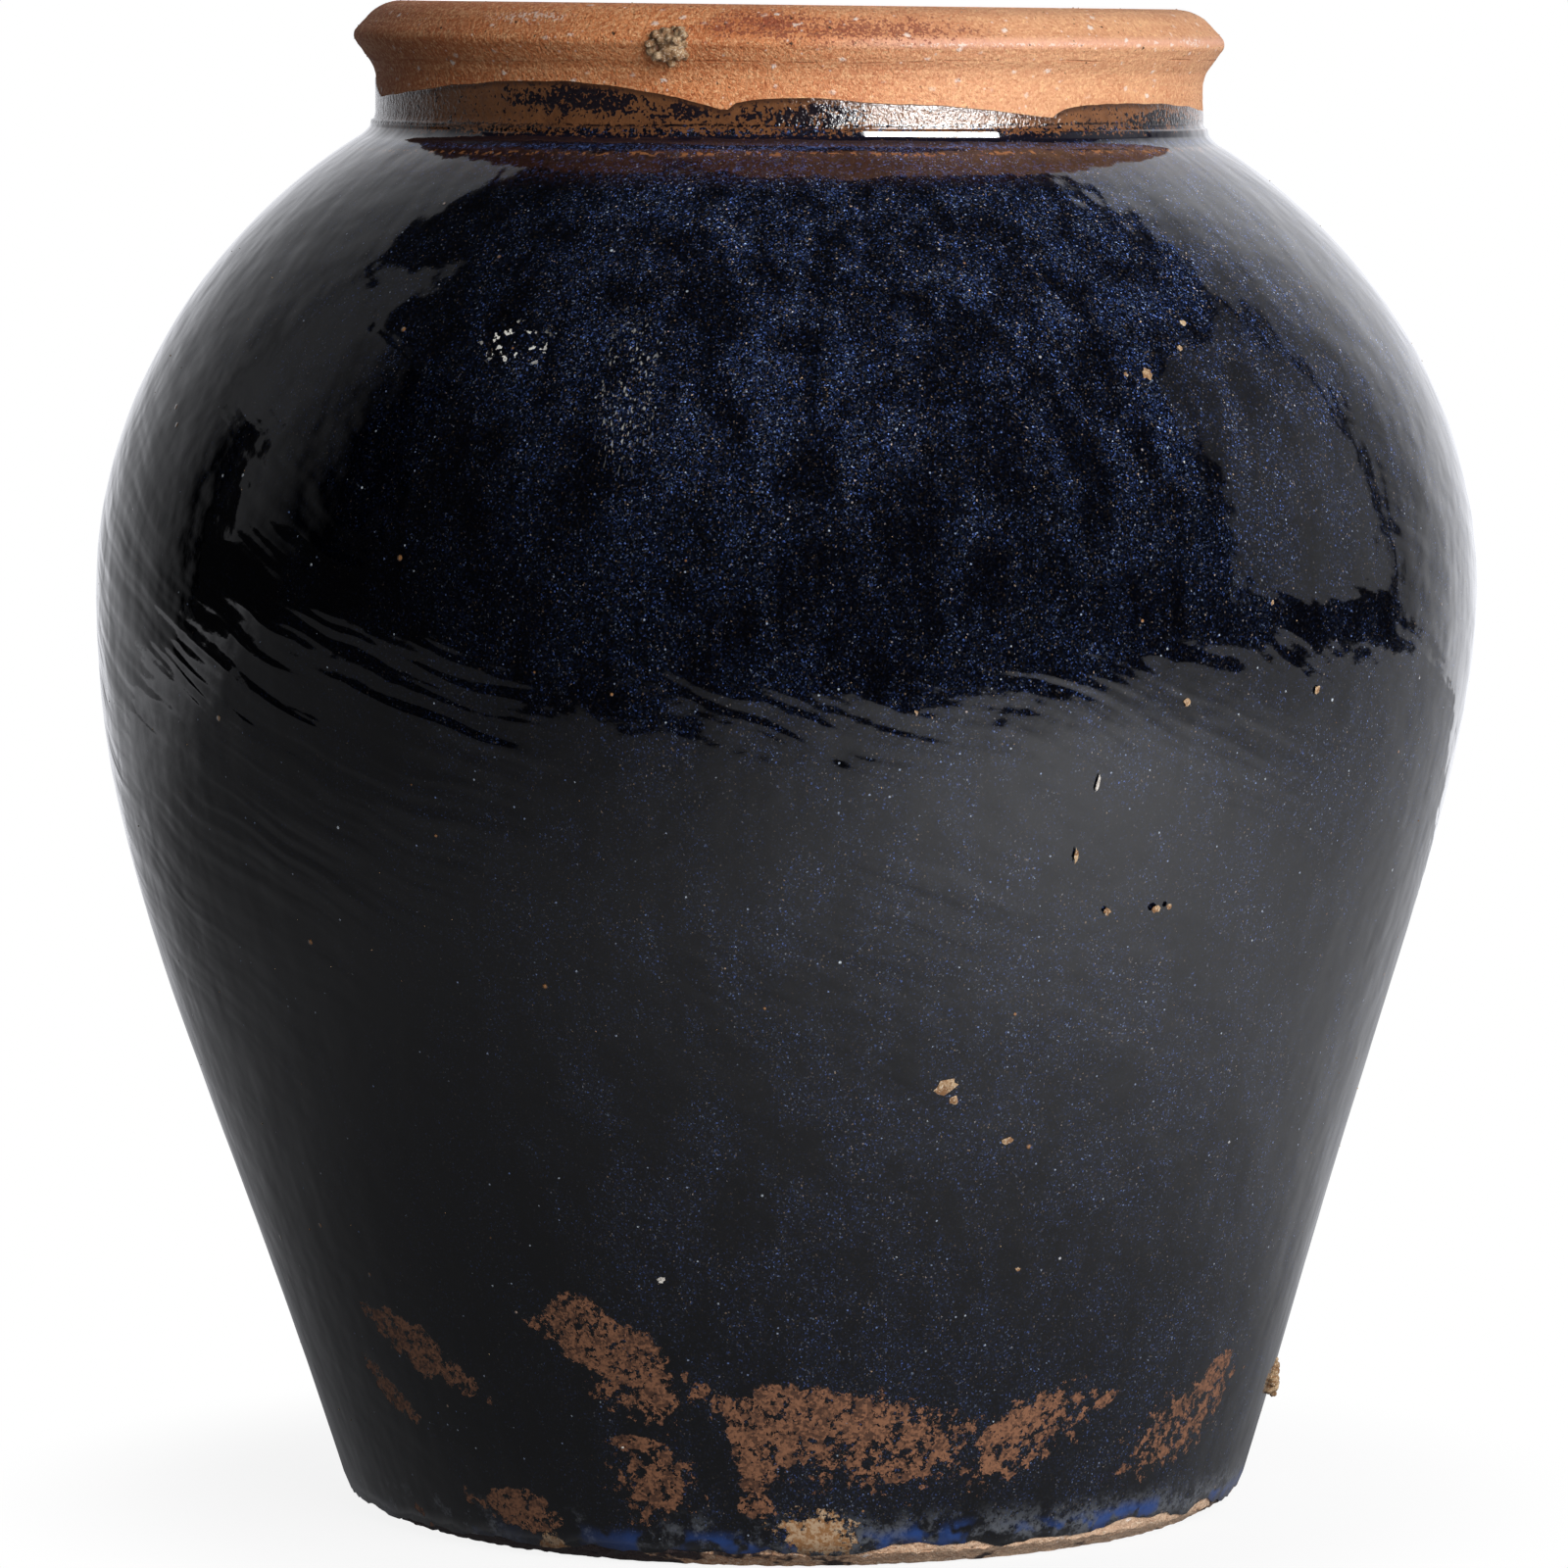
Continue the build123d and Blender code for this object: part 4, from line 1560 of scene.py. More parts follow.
@dataclass
class ClayBody:
    """The clay: the base slab, the coil in its corner, three wall sections, and the neck with its rim."""

    shop: Workshop
    finish: BareClay = BareClay()
    foot_finish: BareClay = replace(
        BareClay(),
        name="foot_clay",
        clay=(0.5, 0.28, 0.16),
        # Painted light: the foot clay's colour on the jar's lit right side.
        painted_lit_clay=(0.6, 0.4, 0.27),
        deep=(0.2, 0.1, 0.06),
        pale=(0.72, 0.58, 0.44),
        stained=0.92,
    )
    heel_height: float = 5.5 * MM
    heel_depth: float = 8.0 * MM
    heel_roundings: Place = (1.5 * MM, 1.8 * MM, 0.3 * MM)
    slab_gap: float = 1.6 * MM
    slab_hub: float = 120 * MM
    coil_press_share: float = 0.7
    coil_arc: float = 75.0
    coil_steps: int = 8
    coil_rows: int = 56
    seam_share: float = 0.52
    scarf_rows: int = 2
    wall_rows: int = 100
    wall_stride: int = 4
    wall_gap: float = 20 * MM
    wall_turns: int = 144
    fine_turns: int = 400
    under_glaze: float = 0.1 * MM
    neck_fullness: float = 0.5 * MM
    flare_rows: int = 10
    neck_gap: float = 0.62 * MM
    throat_gap: float = 2.4 * MM
    lip_start: float = 506.2 * MM
    undercut_radius: float = 12.0 * MM
    lip_radius: float = 154.4 * MM
    nose_height: float = 518.0 * MM
    nose_radius: float = 3.6 * MM
    land_radius: float = 143.4 * MM
    land_rounding: float = 16.5 * MM
    mouth_rounding: float = 2.0 * MM
    throat_rounding: float = 12.0 * MM
    throat_spread: float = 12 * MM
    throat_drop: float = 16 * MM

    def build(self) -> bpy.types.Object:
        """Make every clay piece.

        Returns:
            The neck with its rim, which carries grains.
        """
        self.clay = self.finish.material()
        self.raw = self.foot_finish.material()
        self.build_slab()
        self.build_coil()
        self.build_walls()
        return self.build_neck()

    def build_slab(self) -> None:
        """The slab that the jar stands on, whose heel is bevelled and chipped."""
        line, roundings = self.shop.outline, self.heel_roundings
        top = line.base_thickness
        corners = (
            (0.0, 0.0, 0.0),
            (line.foot_radius - self.heel_depth, 0.0, roundings[0]),
            (line.foot_radius + self.heel_height * line.foot_slope, self.heel_height, roundings[1]),
            (line.foot_radius + top * line.foot_slope, top, roundings[2]),
            (0.0, top, 0.0),
        )
        section = spaced(rounded(corners), self.slab_gap)
        section = [p for p in section if p[0] == 0.0 or p[0] > self.slab_hub]
        mesh = self.shop.turn("base_slab", section, self.raw, self.fine_turns, ring=0, Grain=1.7 * MM)
        add_piece("base_slab_clay", mesh, ("base_slab",))

    def build_coil(self) -> None:
        """The coil pressed into the corner of the floor, under the lining."""
        line = self.shop.outline
        floor = line.base_thickness
        wall = line.hollow(self.coil_rows, 0.0)
        pressed = self.coil_press_share * line.coil_radius
        foot = next(p for p in wall if p[1] > floor)
        high = next(p for p in wall if p[1] > floor + pressed)
        turns = [math.radians(self.coil_arc) * step / self.coil_steps for step in range(self.coil_steps + 1)]
        arc = [
            (
                foot[0] - pressed + line.coil_radius * math.sin(turn),
                floor + line.coil_radius - line.coil_radius * math.cos(turn),
            )
            for turn in turns
        ]
        section = [(foot[0], floor), high, *reversed(arc)]
        mesh = self.shop.turn("corner_coil", section, self.clay, self.wall_turns)
        add_piece("corner_coil_clay", mesh, ("corner_coil",))

    def build_walls(self) -> None:
        """The three sections of the wall, luted to each other at scarfed seams."""
        line = self.shop.outline
        rows, scarf, stride = self.wall_rows, self.scarf_rows, self.wall_stride
        outer = line.beside(line.lower, rows, self.under_glaze, self.under_glaze)
        outer += line.beside(line.upper, rows, self.under_glaze, self.under_glaze)[1:]
        inner = line.beside(line.lower, rows, line.wall_at_foot, line.wall_at_belly)
        inner += line.beside(line.upper, rows, line.wall_at_belly, line.wall_at_shoulder)[1:]
        first = next(i for i, p in enumerate(inner) if p[1] > line.base_thickness)
        cuts = (first, round(self.seam_share * rows), rows, len(outer) - 1 - scarf)
        names = ("lower_wall", "belly_wall", "shoulder_wall")
        for name, low, high in zip(names, cuts, cuts[1:]):
            base = low if name == "lower_wall" else low + scarf
            rise = outer[low : high + 1 : stride] + [outer[high]]
            fall = inner[base : high + scarf + 1 : stride] + [inner[high + scarf]]
            section = spaced(rise + fall[::-1], self.wall_gap)
            mesh = self.shop.turn(name, section, self.clay, self.wall_turns)
            add_piece(f"{name}_clay", mesh, (name,))

    def build_neck(self) -> bpy.types.Object:
        """Make the neck and its rolled rim: a bead with an eased undercut and a flat land.

        Returns:
            The piece.
        """
        line = self.shop.outline
        radius = line.neck_radius + self.neck_fullness
        mouth = line.mouth_radius
        flare = line.beside(line.flare, self.flare_rows, self.under_glaze, -self.neck_fullness)
        corners = (
            (radius, line.neck_start, 0.0),
            (radius, self.lip_start, self.undercut_radius),
            (self.lip_radius, self.nose_height, self.nose_radius),
            (self.land_radius, line.height, self.land_rounding),
            (mouth, line.height, self.mouth_rounding),
            (mouth, line.shoulder_height, self.throat_rounding),
            (line.neck_radius + self.throat_spread, line.shoulder_height - self.throat_drop, 0.0),
        )
        lip = rounded(corners)
        split = next(i for i, p in enumerate(lip) if p[1] > line.height - MERGE_DISTANCE)
        outside = spaced(flare[:-1] + lip[:split], self.neck_gap)
        section = outside + spaced(lip[split - 1 :], self.throat_gap)[1:]
        mesh = self.shop.turn(
            "neck", section, self.clay, self.fine_turns, Ring=0.22 * MM, Ring_Scale=330.0, Grain=0.07 * MM
        )
        return add_piece("neck_and_rim_clay", mesh, ("neck_ring", "rim_roll"))


@dataclass
class GlazeSkins:
    """The two coats of glaze: the blue-black one outside, and the thin brown lining."""

    shop: Workshop
    finish: OutsideGlaze = OutsideGlaze()
    lining_finish: InsideGlaze = InsideGlaze()
    thickness: float = 1.2 * MM
    lining_thickness: float = 0.8 * MM
    back_depth: float = 0.6 * MM
    section_bottom: float = 6.0 * MM
    section_top: float = 503.5 * MM
    facet_low: float = 484.0 * MM
    facet_swell: float = 1.5 * MM
    facet_slope: float = 0.2
    turns: int = 352
    face_rows: tuple[int, int, int] = (92, 104, 16)
    back_rows: tuple[int, int, int] = (9, 12, 3)
    flare_gap: float = 0.7 * MM
    film_gap: float = 0.6 * MM
    lip_ease: Point = (0.25 * MM, 0.3 * MM)
    toe_clearance: float = 4 * MM
    lining_rows: int = 90
    lining_stride: int = 12
    lining_turns: int = 256
    lining_gap: float = 6.0 * MM
    lining_hub: float = 20 * MM
    lining_top_share: float = 0.955
    lining_start_share: float = 0.9
    corner_shares: tuple[Point, ...] = ((0.55, 0.12), (0.2, 0.42))
    lining_bed: float = 1.2 * MM
    lining_tuck: Point = (1.4 * MM, 0.4 * MM)

    def build(self) -> bpy.types.Object:
        """Make both coats, and return the outside one, which carries crumbs."""
        self.build_lining()
        return self.build_coat()

    def facet(self, point: Point, film: float) -> Point:
        """Move a point of the outer face out to the steep narrow band that ends the thick glaze.

        Args:
            point: the point.
            film: the radius of the thin glaze on the neck.

        Returns:
            The point, which stays where it is if it isn't on the band.
        """
        radius, height = point
        top = self.finish.facet_top
        if not self.facet_low < height <= top:
            return point
        return max(radius, film + self.facet_swell + (top - height) * self.facet_slope), height

    def build_coat(self) -> bpy.types.Object:
        """Make the outside coat: thick to a steep band under the neck, thin from there to its lobed edge.

        Returns:
            The piece.
        """
        line = self.shop.outline
        edge = self.finish.edge
        out = -self.thickness
        bottom, top = self.section_bottom, self.section_top
        film = line.neck_radius + edge.thin_film
        lower_rows, upper_rows, flare_rows = self.face_rows
        face = line.beside(line.lower, lower_rows, out, out)[:-1]
        face += line.beside(line.upper, upper_rows, out, out)[:-1]
        face = [p for p in face if p[1] > bottom]
        face += spaced(line.beside(line.flare, flare_rows, out, -edge.thin_film), self.flare_gap)
        face += spaced([(film, line.neck_start), (film, top - self.lip_ease[1])], self.film_gap)[1:]
        face = [self.facet(p, film) for p in face]
        back = []
        for span, rows in zip((line.lower, line.upper, line.flare), self.back_rows):
            back = back[:-1] + line.beside(span, rows, self.back_depth, self.back_depth)
        back = [p for p in back if p[1] > bottom + self.toe_clearance]
        lip = [(film - self.lip_ease[0], top), (line.neck_radius - self.back_depth, top)]
        heel = line.foot_radius + bottom * line.foot_slope
        toe = [(heel - self.back_depth, bottom), (heel + 0.5 * self.thickness, bottom)]
        section = face + lip + back[::-1] + toe
        material = self.finish.material()
        turned = self.shop.turning.run(section_mesh("coat", section), material, Turns=self.turns)
        edged = GlazeLine(self.finish, top, bottom, line.foot_slope).run(turned, material)
        mesh = self.shop.hand.run(edged, material, Wrinkle=0.4 * MM, Ring=0.1 * MM, Ring_Scale=55.0)
        return add_piece("glaze_coat", mesh, ("outside_glaze",))

    def build_lining(self) -> None:
        """The lining, over the floor, the coil and the wall, which shows its throwing rings."""
        line = self.shop.outline
        floor = line.base_thickness + self.lining_thickness
        coil = line.coil_radius
        wall = line.hollow(self.lining_rows, self.lining_thickness)
        low, high = floor + self.lining_start_share * coil, self.lining_top_share * line.shoulder_height
        wall = [p for p in wall if low < p[1] < high]
        first, last = wall[0][0], wall[-1]
        corner = [(first - coil * across, floor + coil * up) for across, up in self.corner_shares]
        start = first - coil
        face = [(0.0, floor), (self.lining_hub, floor), (start, floor), *corner, *wall]
        tuck, drop = self.lining_tuck
        under = [(radius + tuck, height - drop) for radius, height in wall[:: self.lining_stride]]
        bed = floor - self.lining_bed
        back = [(0.0, bed), (start, bed), *under, (last[0] + self.lining_bed, last[1])]
        section = back + spaced(face, self.lining_gap)[::-1]
        material = self.lining_finish.material()
        turns = self.lining_turns
        mesh = self.shop.turn("lining", section, material, turns, ring=0, Ring=0.9 * MM, Ring_Scale=75.0)
        add_piece("inside_glaze_lining", mesh, ("inside_glaze",))


@dataclass
class KilnGrit:
    """What the kiln left on the jar: a lump on the rim, one low on the wall, chips, and strewn grains."""

    outline: Outline
    finish: GritFinish = GritFinish()
    white_finish: GritFinish = replace(
        GritFinish(), name="white_grit", tan=(0.6, 0.57, 0.52), brown=(0.4, 0.36, 0.32), white=(0.8, 0.8, 0.8)
    )
    chips: tuple[Blot, ...] = (
        mark(14.4, 172, 5.0, 3.2, 20.0),
        mark(15.2, 167, 2.0, 2.4, 20.0),
        mark(21.0, 152, 2.4, 1.8, 20.0),
        mark(27.5, 230, 1.6, 1.6),
        mark(32.3, 230, 2.2, 1.7),
        mark(33.6, 230.5, 1.4, 1.4),
        mark(-2.9, 370.6, 1.9, 2.6),
        mark(-4.6, 350, 1.2, 2.8),
        mark(32.5, 408, 2.3, 2.8),
        mark(30.3, 408, 1.0, 1.2),
        mark(37.0, 416, 1.4, 1.3),
        mark(38.5, 424, 1.6, 1.6),
        mark(41.4, 331.5, 2.5, 2.4),
        mark(24.0, 250, 1.0, 3.0),
        mark(24.0, 106, 1.6, 1.6),
        mark(36.0, 92, 1.6, 2.4),
        mark(-12.6, 360, 0.9, 1.9),
        mark(10.0, 299, 1.3, 2.1),
        mark(33.0, 300, 1.7, 1.7),
        mark(47.0, 301, 1.3, 2.1, -30.0),
    )
    white_chips: tuple[Blot, ...] = (
        mark(35.2, 360, 2.4, 2.0),
        mark(-12.8, 104, 1.6, 1.5),
        mark(25.3, 274, 0.8, 3.6, -10.0),
        mark(34.0, 379, 0.8, 0.8),
        mark(12.0, 124, 0.7, 1.0),
        mark(-19.0, 43, 0.7, 0.6),
    )
    chip_thickness: float = 0.35 * MM
    chip_noise_scale: float = 1.7
    chip_least_share: float = 0.75
    chip_raggedness: float = 0.5
    rim_turn: float = -104.9
    rim_place: Point = (153.0 * MM, 516.2 * MM)
    wall_turn: float = -7.0
    wall_place: Point = (173.2 * MM, 46.0 * MM)

    def build(self, rim: bpy.types.Object, coat: bpy.types.Object) -> None:
        """Make the lumps and the chips, and strew grains.

        Args:
            rim: the piece that the sand lies on.
            coat: the piece that the crumbs lie on.
        """
        material = self.finish.material()
        fusing = Fusing()
        rim_sizes = {"Seed": 5, "Grains": 110, "Width": 9.0 * MM, "Depth": 3.2 * MM, "Height": 6.8 * MM}
        rim_sizes |= {"Least_Radius": 1.0 * MM, "Greatest_Radius": 2.3 * MM, "Pits": 0.7 * MM}
        self.add_lump(fusing, material, "rim_kiln_grit", self.rim_turn, self.rim_place, **rim_sizes)
        wall_sizes = {"Seed": 23, "Grains": 80, "Width": 5.5 * MM, "Depth": 2.4 * MM, "Height": 9.0 * MM}
        wall_sizes |= {"Greatest_Radius": 2.2 * MM}
        self.add_lump(fusing, material, "wall_kiln_grit", self.wall_turn, self.wall_place, **wall_sizes)
        scatter = Scatter()
        sizes = {"Density": 14000.0, "Low": 505 * MM, "Greatest_Radius": 0.32 * MM}
        sand = scatter.run(rim.data, material, **sizes)
        add_piece("rim_sand", sand)
        sizes = {"Seed": 9, "Density": 420.0, "Low": 20 * MM, "High": 470 * MM, "Least_Radius": 0.12 * MM}
        crumbs = scatter.run(coat.data, material, **sizes)
        add_piece("glaze_crumbs", crumbs)
        self.add_chips("glaze_chips", self.chips, material)
        self.add_chips("white_glaze_chips", self.white_chips, self.white_finish.material())

    def add_chips(self, name: str, blots: Sequence[Blot], material: bpy.types.Material) -> None:
        """Add a small ragged flake at each place of the coat, lying flat on it.

        Args:
            name: the piece's name.
            blots: the places, with the flakes' half sizes.
            material: what they are dressed in.
        """
        surface = bmesh.new()
        for blot in blots:
            radius, lean = self.outline.skin(blot.height, GlazeSkins.thickness)
            facing = Matrix.Rotation(math.radians(blot.azimuth - 90.0), 4, "Z")
            tilt = Matrix.Rotation(math.radians(90.0) - lean, 4, "Y")
            turn = Matrix.Rotation(math.radians(blot.turn), 4, "Z")
            size = Matrix.Diagonal((blot.half_height, blot.half_width, self.chip_thickness, 1.0))
            spot = Matrix.Translation((radius, 0.0, blot.height))
            cast = Vector((blot.azimuth, blot.height / MM, 0.0))
            made = bmesh.ops.create_icosphere(surface, subdivisions=2, radius=1.0)
            for vertex in made["verts"]:
                draw = noise.noise(vertex.co * self.chip_noise_scale + cast)
                vertex.co *= self.chip_least_share + self.chip_raggedness * draw
                vertex.co = facing @ spot @ tilt @ turn @ size @ vertex.co
        mesh = bpy.data.meshes.new(name)
        surface.to_mesh(mesh)
        surface.free()
        mesh.materials.append(material)
        add_piece(name, mesh)

    @staticmethod
    def add_lump(
        fusing: Fusing, material: bpy.types.Material, name: str, turn: float, place: Point, **sizes: float
    ) -> None:
        """Fuse a lump and set it on its carrier, where it stands for the CAD lump.

        Args:
            fusing: the recipe.
            material: what the lump is dressed in.
            name: the CAD node's name.
            turn: its azimuth, in degrees from X.
            place: its radius and its height.
            **sizes: inputs of the recipe.
        """
        empty = section_mesh(name, [(0.0, 0.0)])
        mesh = fusing.run(empty, material, **sizes)
        facing = Matrix.Rotation(math.radians(turn), 4, "Z")
        on_wall = Matrix.Rotation(math.radians(90.0), 4, "Z")
        mesh.transform(facing @ Matrix.Translation((place[0], 0.0, place[1])) @ on_wall)
        add_piece(name + "_lump", mesh, (name,))


@dataclass(frozen=True)
class Softbox:
    """A soft panel of light: where it stands, what it faces, its sizes, and how bright its face is."""

    name: str
    place: Place
    target: Place
    width: float
    height: float
    radiance: float
    mirrored: bool = True
    lights_clay: bool = True
    spread: float = 180.0

    def build(self) -> None:
        """Add the panel as an area light, which the glaze mirrors, or which lights the clay, or both."""
        light = bpy.data.lights.new(self.name, "AREA")
        light.shape = "RECTANGLE"
        light.size, light.size_y = self.width, self.height
        light.energy = self.radiance * math.pi * self.width * self.height
        light.spread = math.radians(self.spread)
        panel = bpy.data.objects.new(self.name, light)
        panel.location = self.place
        facing = Vector(self.target) - Vector(self.place)
        panel.rotation_euler = facing.to_track_quat("-Z", "Y").to_euler()
        panel.visible_camera = False
        panel.visible_glossy = self.mirrored
        panel.visible_diffuse = self.lights_clay
        bpy.context.scene.collection.objects.link(panel)


@dataclass(frozen=True)
class Glow:
    """A sheet of the set that shines, which the camera doesn't see.

    Its stops run along one axis, 0 for X or 1 for Y, from a start to an end. Above its fade height it is
    half as bright.
    """

    name: str
    corners: tuple[Place, ...]
    axis: int
    start: float
    end: float
    stops: tuple[tuple[float, float], ...]
    fade_height: float = 100.0

    def radiance(self, bench: Bench) -> Wire:
        """Find how bright the sheet is from place to place.

        Args:
            bench: where the nodes go.

        Returns:
            Its radiance.
        """
        parts = bench.split(bench.wire("ShaderNodeTexCoord", {}, {}, "Object"))
        share = (parts[self.axis] - self.start) * (1.0 / (self.end - self.start))
        fade = bench.step(parts[2], self.fade_height, 0.5 * self.fade_height)
        return bench.ramp(share, self.stops) * (fade * 0.5 + 0.5)


@dataclass(frozen=True)
class FloorGlow(Glow):
    """The paper on the floor as the glaze mirrors it: a pool of light on the right, dim on the left."""

    pool: Point = (0.62, -0.6)
    pool_radius: float = 0.5
    pool_radiance: float = 1.3
    far_left_radiance: float = 0.45
    far_zone: Point = (0.2, 1.5)
    left_zone: Point = (0.2, -0.6)
    jar_shade: float = 0.42
    shade_zone: Point = (0.2, 0.6)

    def radiance(self, bench: Bench) -> Wire:
        """A soft pool over an even rise from left to right, paler at the far left, and dim round the jar.

        Args:
            bench: where the nodes go.

        Returns:
            Its radiance.
        """
        x, y, _ = bench.split(bench.wire("ShaderNodeTexCoord", {}, {}, "Object"))
        across = (x - self.pool[0]) * (1.0 / self.pool_radius)
        along = (y - self.pool[1]) * (1.0 / self.pool_radius)
        pool = bench.math("EXPONENT", -(across * across + along * along)) * self.pool_radiance
        share = (x - self.start) * (1.0 / (self.end - self.start))
        far = bench.step(y, *self.far_zone) * bench.step(x, *self.left_zone) * self.far_left_radiance
        distance = bench.math("SQRT", x * x + y * y)
        shade = between(bench.step(distance, *self.shade_zone), self.jar_shade, 1.0)
        return (pool + far + bench.ramp(share, self.stops)) * shade


@dataclass
class Studio:
    """A plain pale floor, soft light, and the camera at the photograph's place.

    The light named inside stands in the mouth and shows the lining, and the neck's lamps leave its streaks.
    """

    camera_place: Place = (-1.0 * MM, -3022.6 * MM, 529.0 * MM)
    camera_pitch: float = 5.196
    camera_lens: float = 195.97
    sensor_width: float = 36.0
    floor_radius: float = 7.0
    floor_sides: int = 64
    shadow_radius: float = 0.19
    shadow_fade: float = 1.6
    shadow_share: float = 0.12
    cool_white: tuple[float, ...] = (0.94, 0.95, 1.0, 1.0)
    paper_white: tuple[float, ...] = (0.9, 0.9, 0.9, 1.0)
    pure_white: tuple[float, ...] = (1.0, 1.0, 1.0, 1.0)
    studio_dark: tuple[float, ...] = (0.012, 0.012, 0.013, 1.0)
    softboxes: tuple[Softbox, ...] = (
        Softbox("key", (2.54, -1.78, 1.35), (0.0, 0.0, 0.45), 1.4, 1.4, radiance=8.0, mirrored=False),
        Softbox("fill", (1.2, -2.7, 1.35), (0.0, 0.0, 0.4), 2.0, 2.0, radiance=7.2, mirrored=False),
        Softbox("inside", (0.0, 0.0, 0.495), (0.0, 0.0, 0.0), 0.2, 0.2, radiance=6.5, mirrored=False),
    )
    neck_lights: int = 6
    neck_light_first: float = 24.0
    neck_light_step: float = 6.6
    neck_light_rises: tuple[Point, ...] = ((-0.5, 0.45), (22.0, 0.6))
    neck_light_distance: float = 0.5
    neck_light_height: float = 0.075
    neck_light_spread: float = 12.0
    neck_radius: float = 0.146
    neck_height: float = 0.49
    glows: tuple[Glow, ...] = (
        Glow(
            "back_wall",
            ((-4.5, 1.7, 0.0), (3.4, 1.7, 0.0), (3.4, 1.7, 3.4), (-4.5, 1.7, 3.4)),
            axis=0,
            start=-4.5,
            end=3.4,
            stops=(
                *((0.0, 0.0), (0.04, 0.0), (0.225, 0.24), (0.35, 0.42), (0.42, 0.58), (0.48, 0.95)),
                *((0.6, 1.3), (0.73, 1.4), (0.79, 0.95), (0.82, 0.8), (0.88, 0.5), (0.96, 0.4), (1.0, 0.0)),
            ),
        ),
        Glow(
            "right_sheet",
            ((2.2, -0.55, 0.32), (2.2, 0.95, 0.28), (2.2, 0.95, 2.3), (2.2, -0.55, 2.3)),
            axis=1,
            start=-0.55,
            end=0.95,
            stops=((0.0, 0.34), (0.4, 0.5), (0.9, 0.52), (1.0, 0.26)),
            fade_height=1.9,
        ),
        Glow(
            "left_sheet",
            ((-2.2, 0.5, 0.62), (-2.2, -0.85, 0.72), (-2.2, -0.85, 2.4), (-2.2, 0.5, 2.4)),
            axis=1,
            start=-0.85,
            end=0.5,
            stops=((0.0, 0.0), (0.4, 0.0), (0.7, 0.16), (1.0, 0.26)),
        ),
        Glow(
            "high_left_sheet",
            ((-2.2, 0.5, 1.3), (-3.1, 1.69, 1.6), (-3.1, 1.69, 3.4), (-2.2, 0.5, 3.4)),
            axis=1,
            start=0.5,
            end=1.69,
            stops=((0.0, 0.26), (0.5, 0.25), (0.8, 0.24), (1.0, 0.24)),
        ),
        FloorGlow(
            "floor_sheet",
            (
                (-4.5, -1.25, -0.001),
                (0.3, -1.3, -0.001),
                (2.3, -0.95, -0.001),
                (2.3, 1.7, -0.001),
                (-4.5, 1.7, -0.001),
            ),
            axis=0,
            start=-0.9,
            end=0.7,
            stops=((0.0, 0.16), (0.35, 0.26), (0.7, 0.55), (1.0, 0.64)),
        ),
    )

    def build(self) -> None:
        """Set up floor, world, lights and camera."""
        self.build_floor()
        self.build_world()
        for glow in self.glows:
            self.build_glow(glow)
        for softbox in self.softboxes:
            softbox.build()
        self.build_neck_lights()
        camera = bpy.data.cameras.new("camera")
        camera.lens = self.camera_lens
        camera.sensor_width = self.sensor_width
        camera.clip_end = 100.0
        holder = bpy.data.objects.new("camera", camera)
        holder.location = self.camera_place
        holder.rotation_euler = (math.radians(90.0 - self.camera_pitch), 0.0, 0.0)
        bpy.context.scene.collection.objects.link(holder)
        bpy.context.scene.camera = holder
        bpy.context.scene.view_settings.view_transform = "Standard"

    def build_neck_lights(self) -> None:
        """Small gridded lamps, front right, whose beams reach only the neck and leave its bright streaks."""
        width = self.neck_light_distance * math.radians(self.neck_light_step)
        for number in range(self.neck_lights):
            azimuth = math.radians(self.neck_light_first + self.neck_light_step * number)
            spot = (
                self.neck_radius * math.sin(azimuth / 2),
                -self.neck_radius * math.cos(azimuth / 2),
                self.neck_height,
            )
            for rise, radiance in self.neck_light_rises:
                lift = math.asin(math.sin(math.radians(rise)) * math.cos(azimuth / 2))
                reach = self.neck_light_distance * math.cos(lift)
                place = (
                    spot[0] + reach * math.sin(azimuth),
                    spot[1] - reach * math.cos(azimuth),
                    spot[2] + self.neck_light_distance * math.sin(lift),
                )
                name = f"neck_light_{number}_{'high' if rise > 0 else 'low'}"
                shape = (width, self.neck_light_height, radiance)
                Softbox(name, place, spot, *shape, lights_clay=False, spread=self.neck_light_spread).build()

    def sheet(self, name: str, corners: Sequence[Place]) -> tuple[bpy.types.Object, Bench]:
        """Lay a flat sheet of the set, which isn't part of the jar.

        Args:
            name: the sheet's name.
            corners: its corners, in order.

        Returns:
            The sheet, and the bench of its own material.
        """
        mesh = bpy.data.meshes.new(name)
        mesh.from_pydata(list(corners), [], [tuple(range(len(corners)))])
        sheet = bpy.data.objects.new(name, mesh)
        bpy.context.scene.collection.objects.link(sheet)
        material = bpy.data.materials.new(name)
        material.use_nodes = True
        material.node_tree.nodes.clear()
        mesh.materials.append(material)
        return sheet, Bench(material.node_tree)

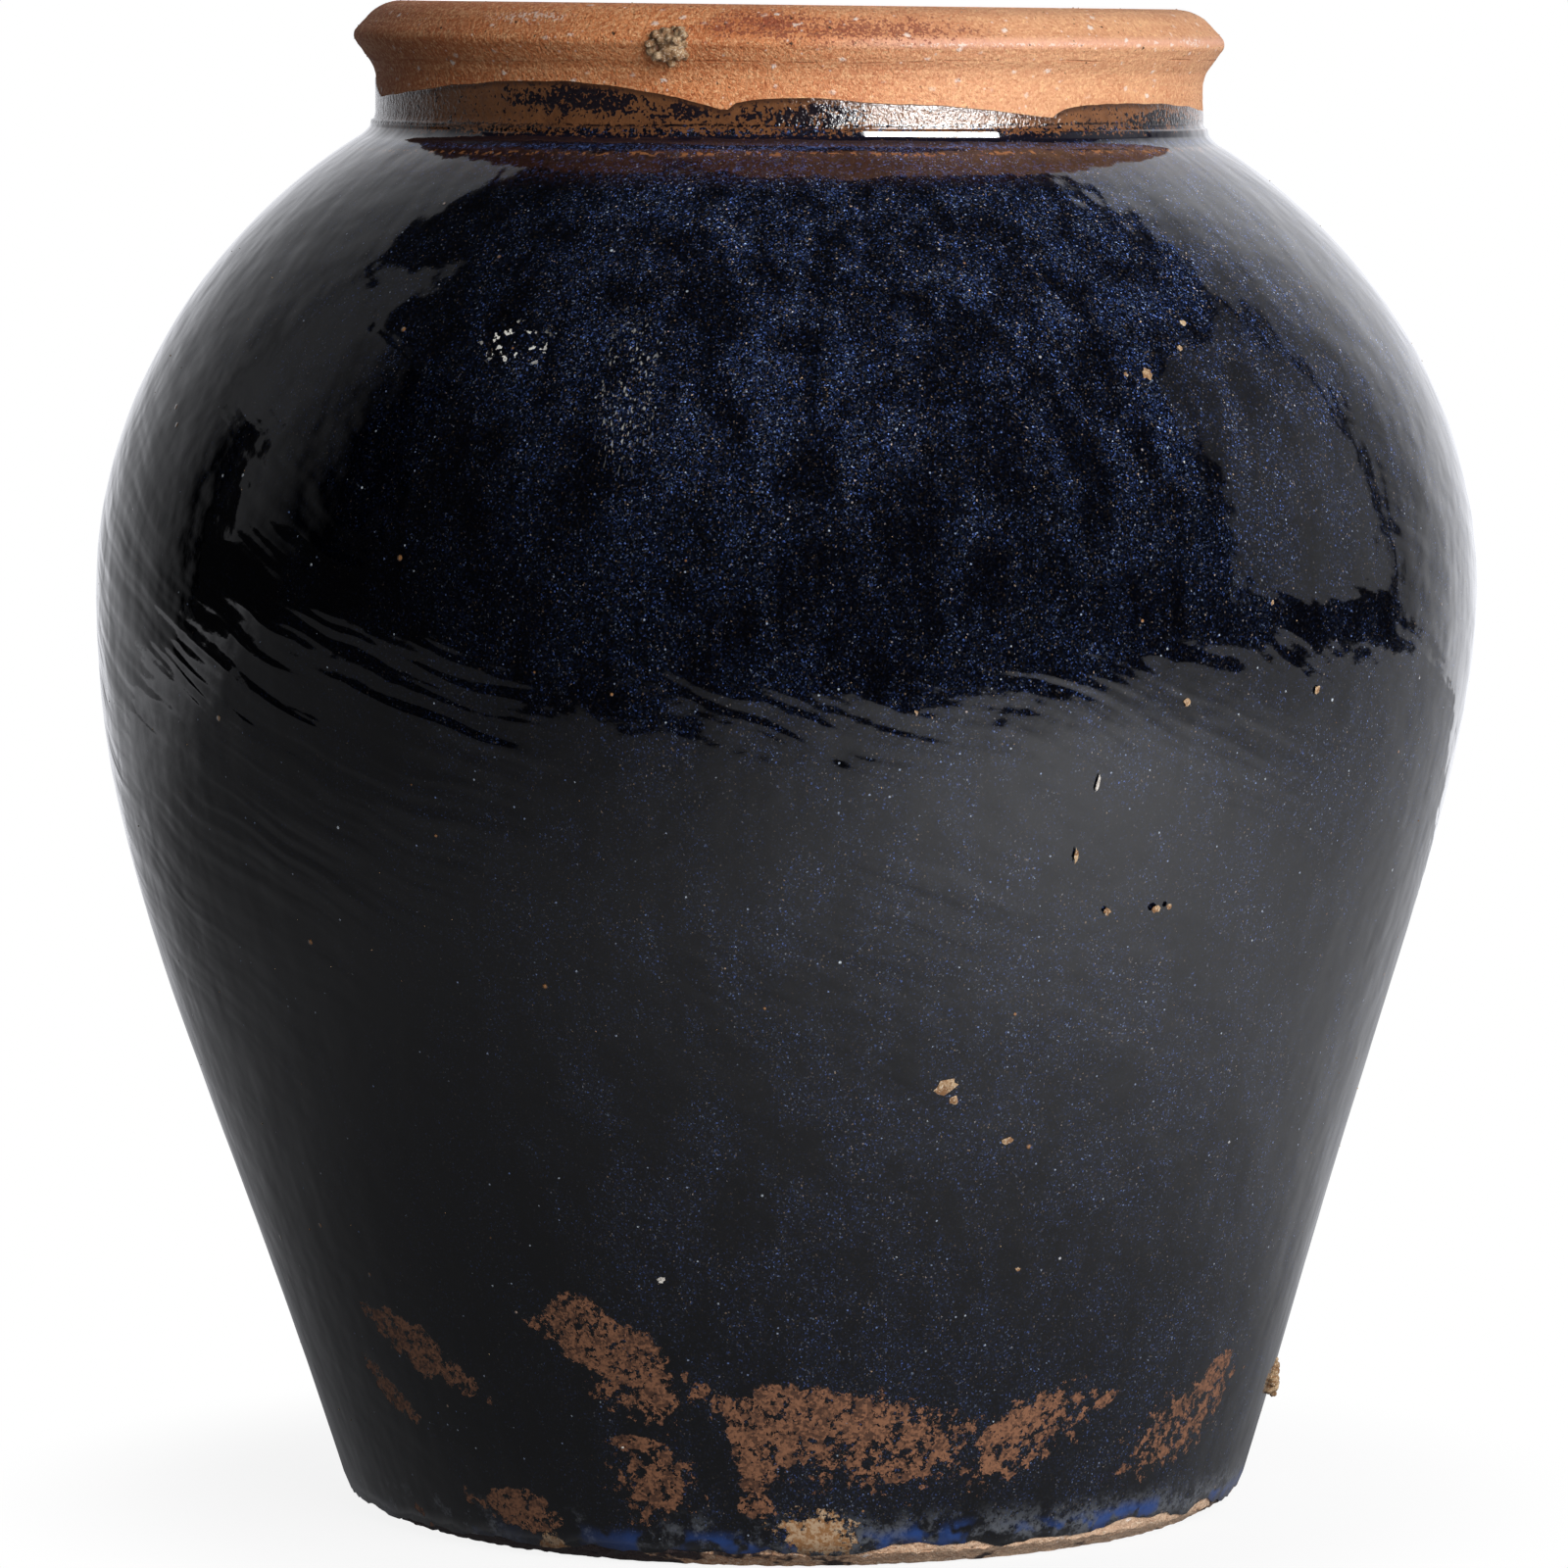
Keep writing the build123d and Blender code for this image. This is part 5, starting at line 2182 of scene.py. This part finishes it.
    def build_glow(self, glow: Glow) -> None:
        """Add a shining sheet that the camera doesn't see.

        Args:
            glow: the sheet.
        """
        sheet, bench = self.sheet(glow.name, glow.corners)
        sheet.visible_camera = False
        radiance = glow.radiance(bench)
        shine = bench.wire("ShaderNodeEmission", {}, {"Color": self.cool_white, "Strength": radiance})
        bench.node("ShaderNodeOutputMaterial", {}, {"Surface": shine})

    def build_floor(self) -> None:
        """The white floor that the camera sees, with the jar's soft shadow on it."""
        turns = [math.tau * step / self.floor_sides for step in range(self.floor_sides)]
        corners = [(self.floor_radius * math.cos(a), self.floor_radius * math.sin(a), 0.0) for a in turns]
        floor, bench = self.sheet("floor", corners)
        floor.visible_glossy = False
        floor.visible_diffuse = False
        place = bench.wire("ShaderNodeTexCoord", {}, {}, "Object")
        distance = bench.wire("ShaderNodeVectorMath", {"operation": "LENGTH"}, {0: place}, "Value")
        reach = self.shadow_fade * self.shadow_radius
        share = bench.step(distance, reach, self.shadow_radius) * self.shadow_share
        lit = bench.wire("ShaderNodeBsdfDiffuse", {}, {"Color": self.paper_white})
        glow = bench.wire("ShaderNodeEmission", {}, {"Color": self.pure_white, "Strength": 1.0})
        surface = bench.wire("ShaderNodeMixShader", {}, {"Fac": share, 1: glow, 2: lit})
        bench.node("ShaderNodeOutputMaterial", {}, {"Surface": surface})

    def build_world(self) -> None:
        """White to the camera, and a dark studio to everything else."""
        world = bpy.data.worlds.new("studio")
        bpy.context.scene.world = world
        world.use_nodes = True
        world.node_tree.nodes.clear()
        bench = Bench(world.node_tree)
        seen = bench.wire("ShaderNodeLightPath", {}, {}, "Is Camera Ray")
        dark = bench.wire("ShaderNodeBackground", {}, {"Color": self.studio_dark, "Strength": 1.0})
        white = bench.wire("ShaderNodeBackground", {}, {"Color": self.pure_white, "Strength": 1.0})
        surface = bench.wire("ShaderNodeMixShader", {}, {"Fac": seen, 1: dark, 2: white})
        bench.node("ShaderNodeOutputWorld", {}, {"Surface": surface})


def main() -> None:
    """Build the jar's pieces in order, then the studio."""
    logging.basicConfig(level=logging.INFO, format="%(name)s %(message)s")
    shop = Workshop(Outline.from_frame(), Turning(), Hand())
    rim = ClayBody(shop).build()
    coat = GlazeSkins(shop).build()
    KilnGrit(shop.outline).build(rim, coat)
    Studio().build()


if __name__ == "__main__":
    main()
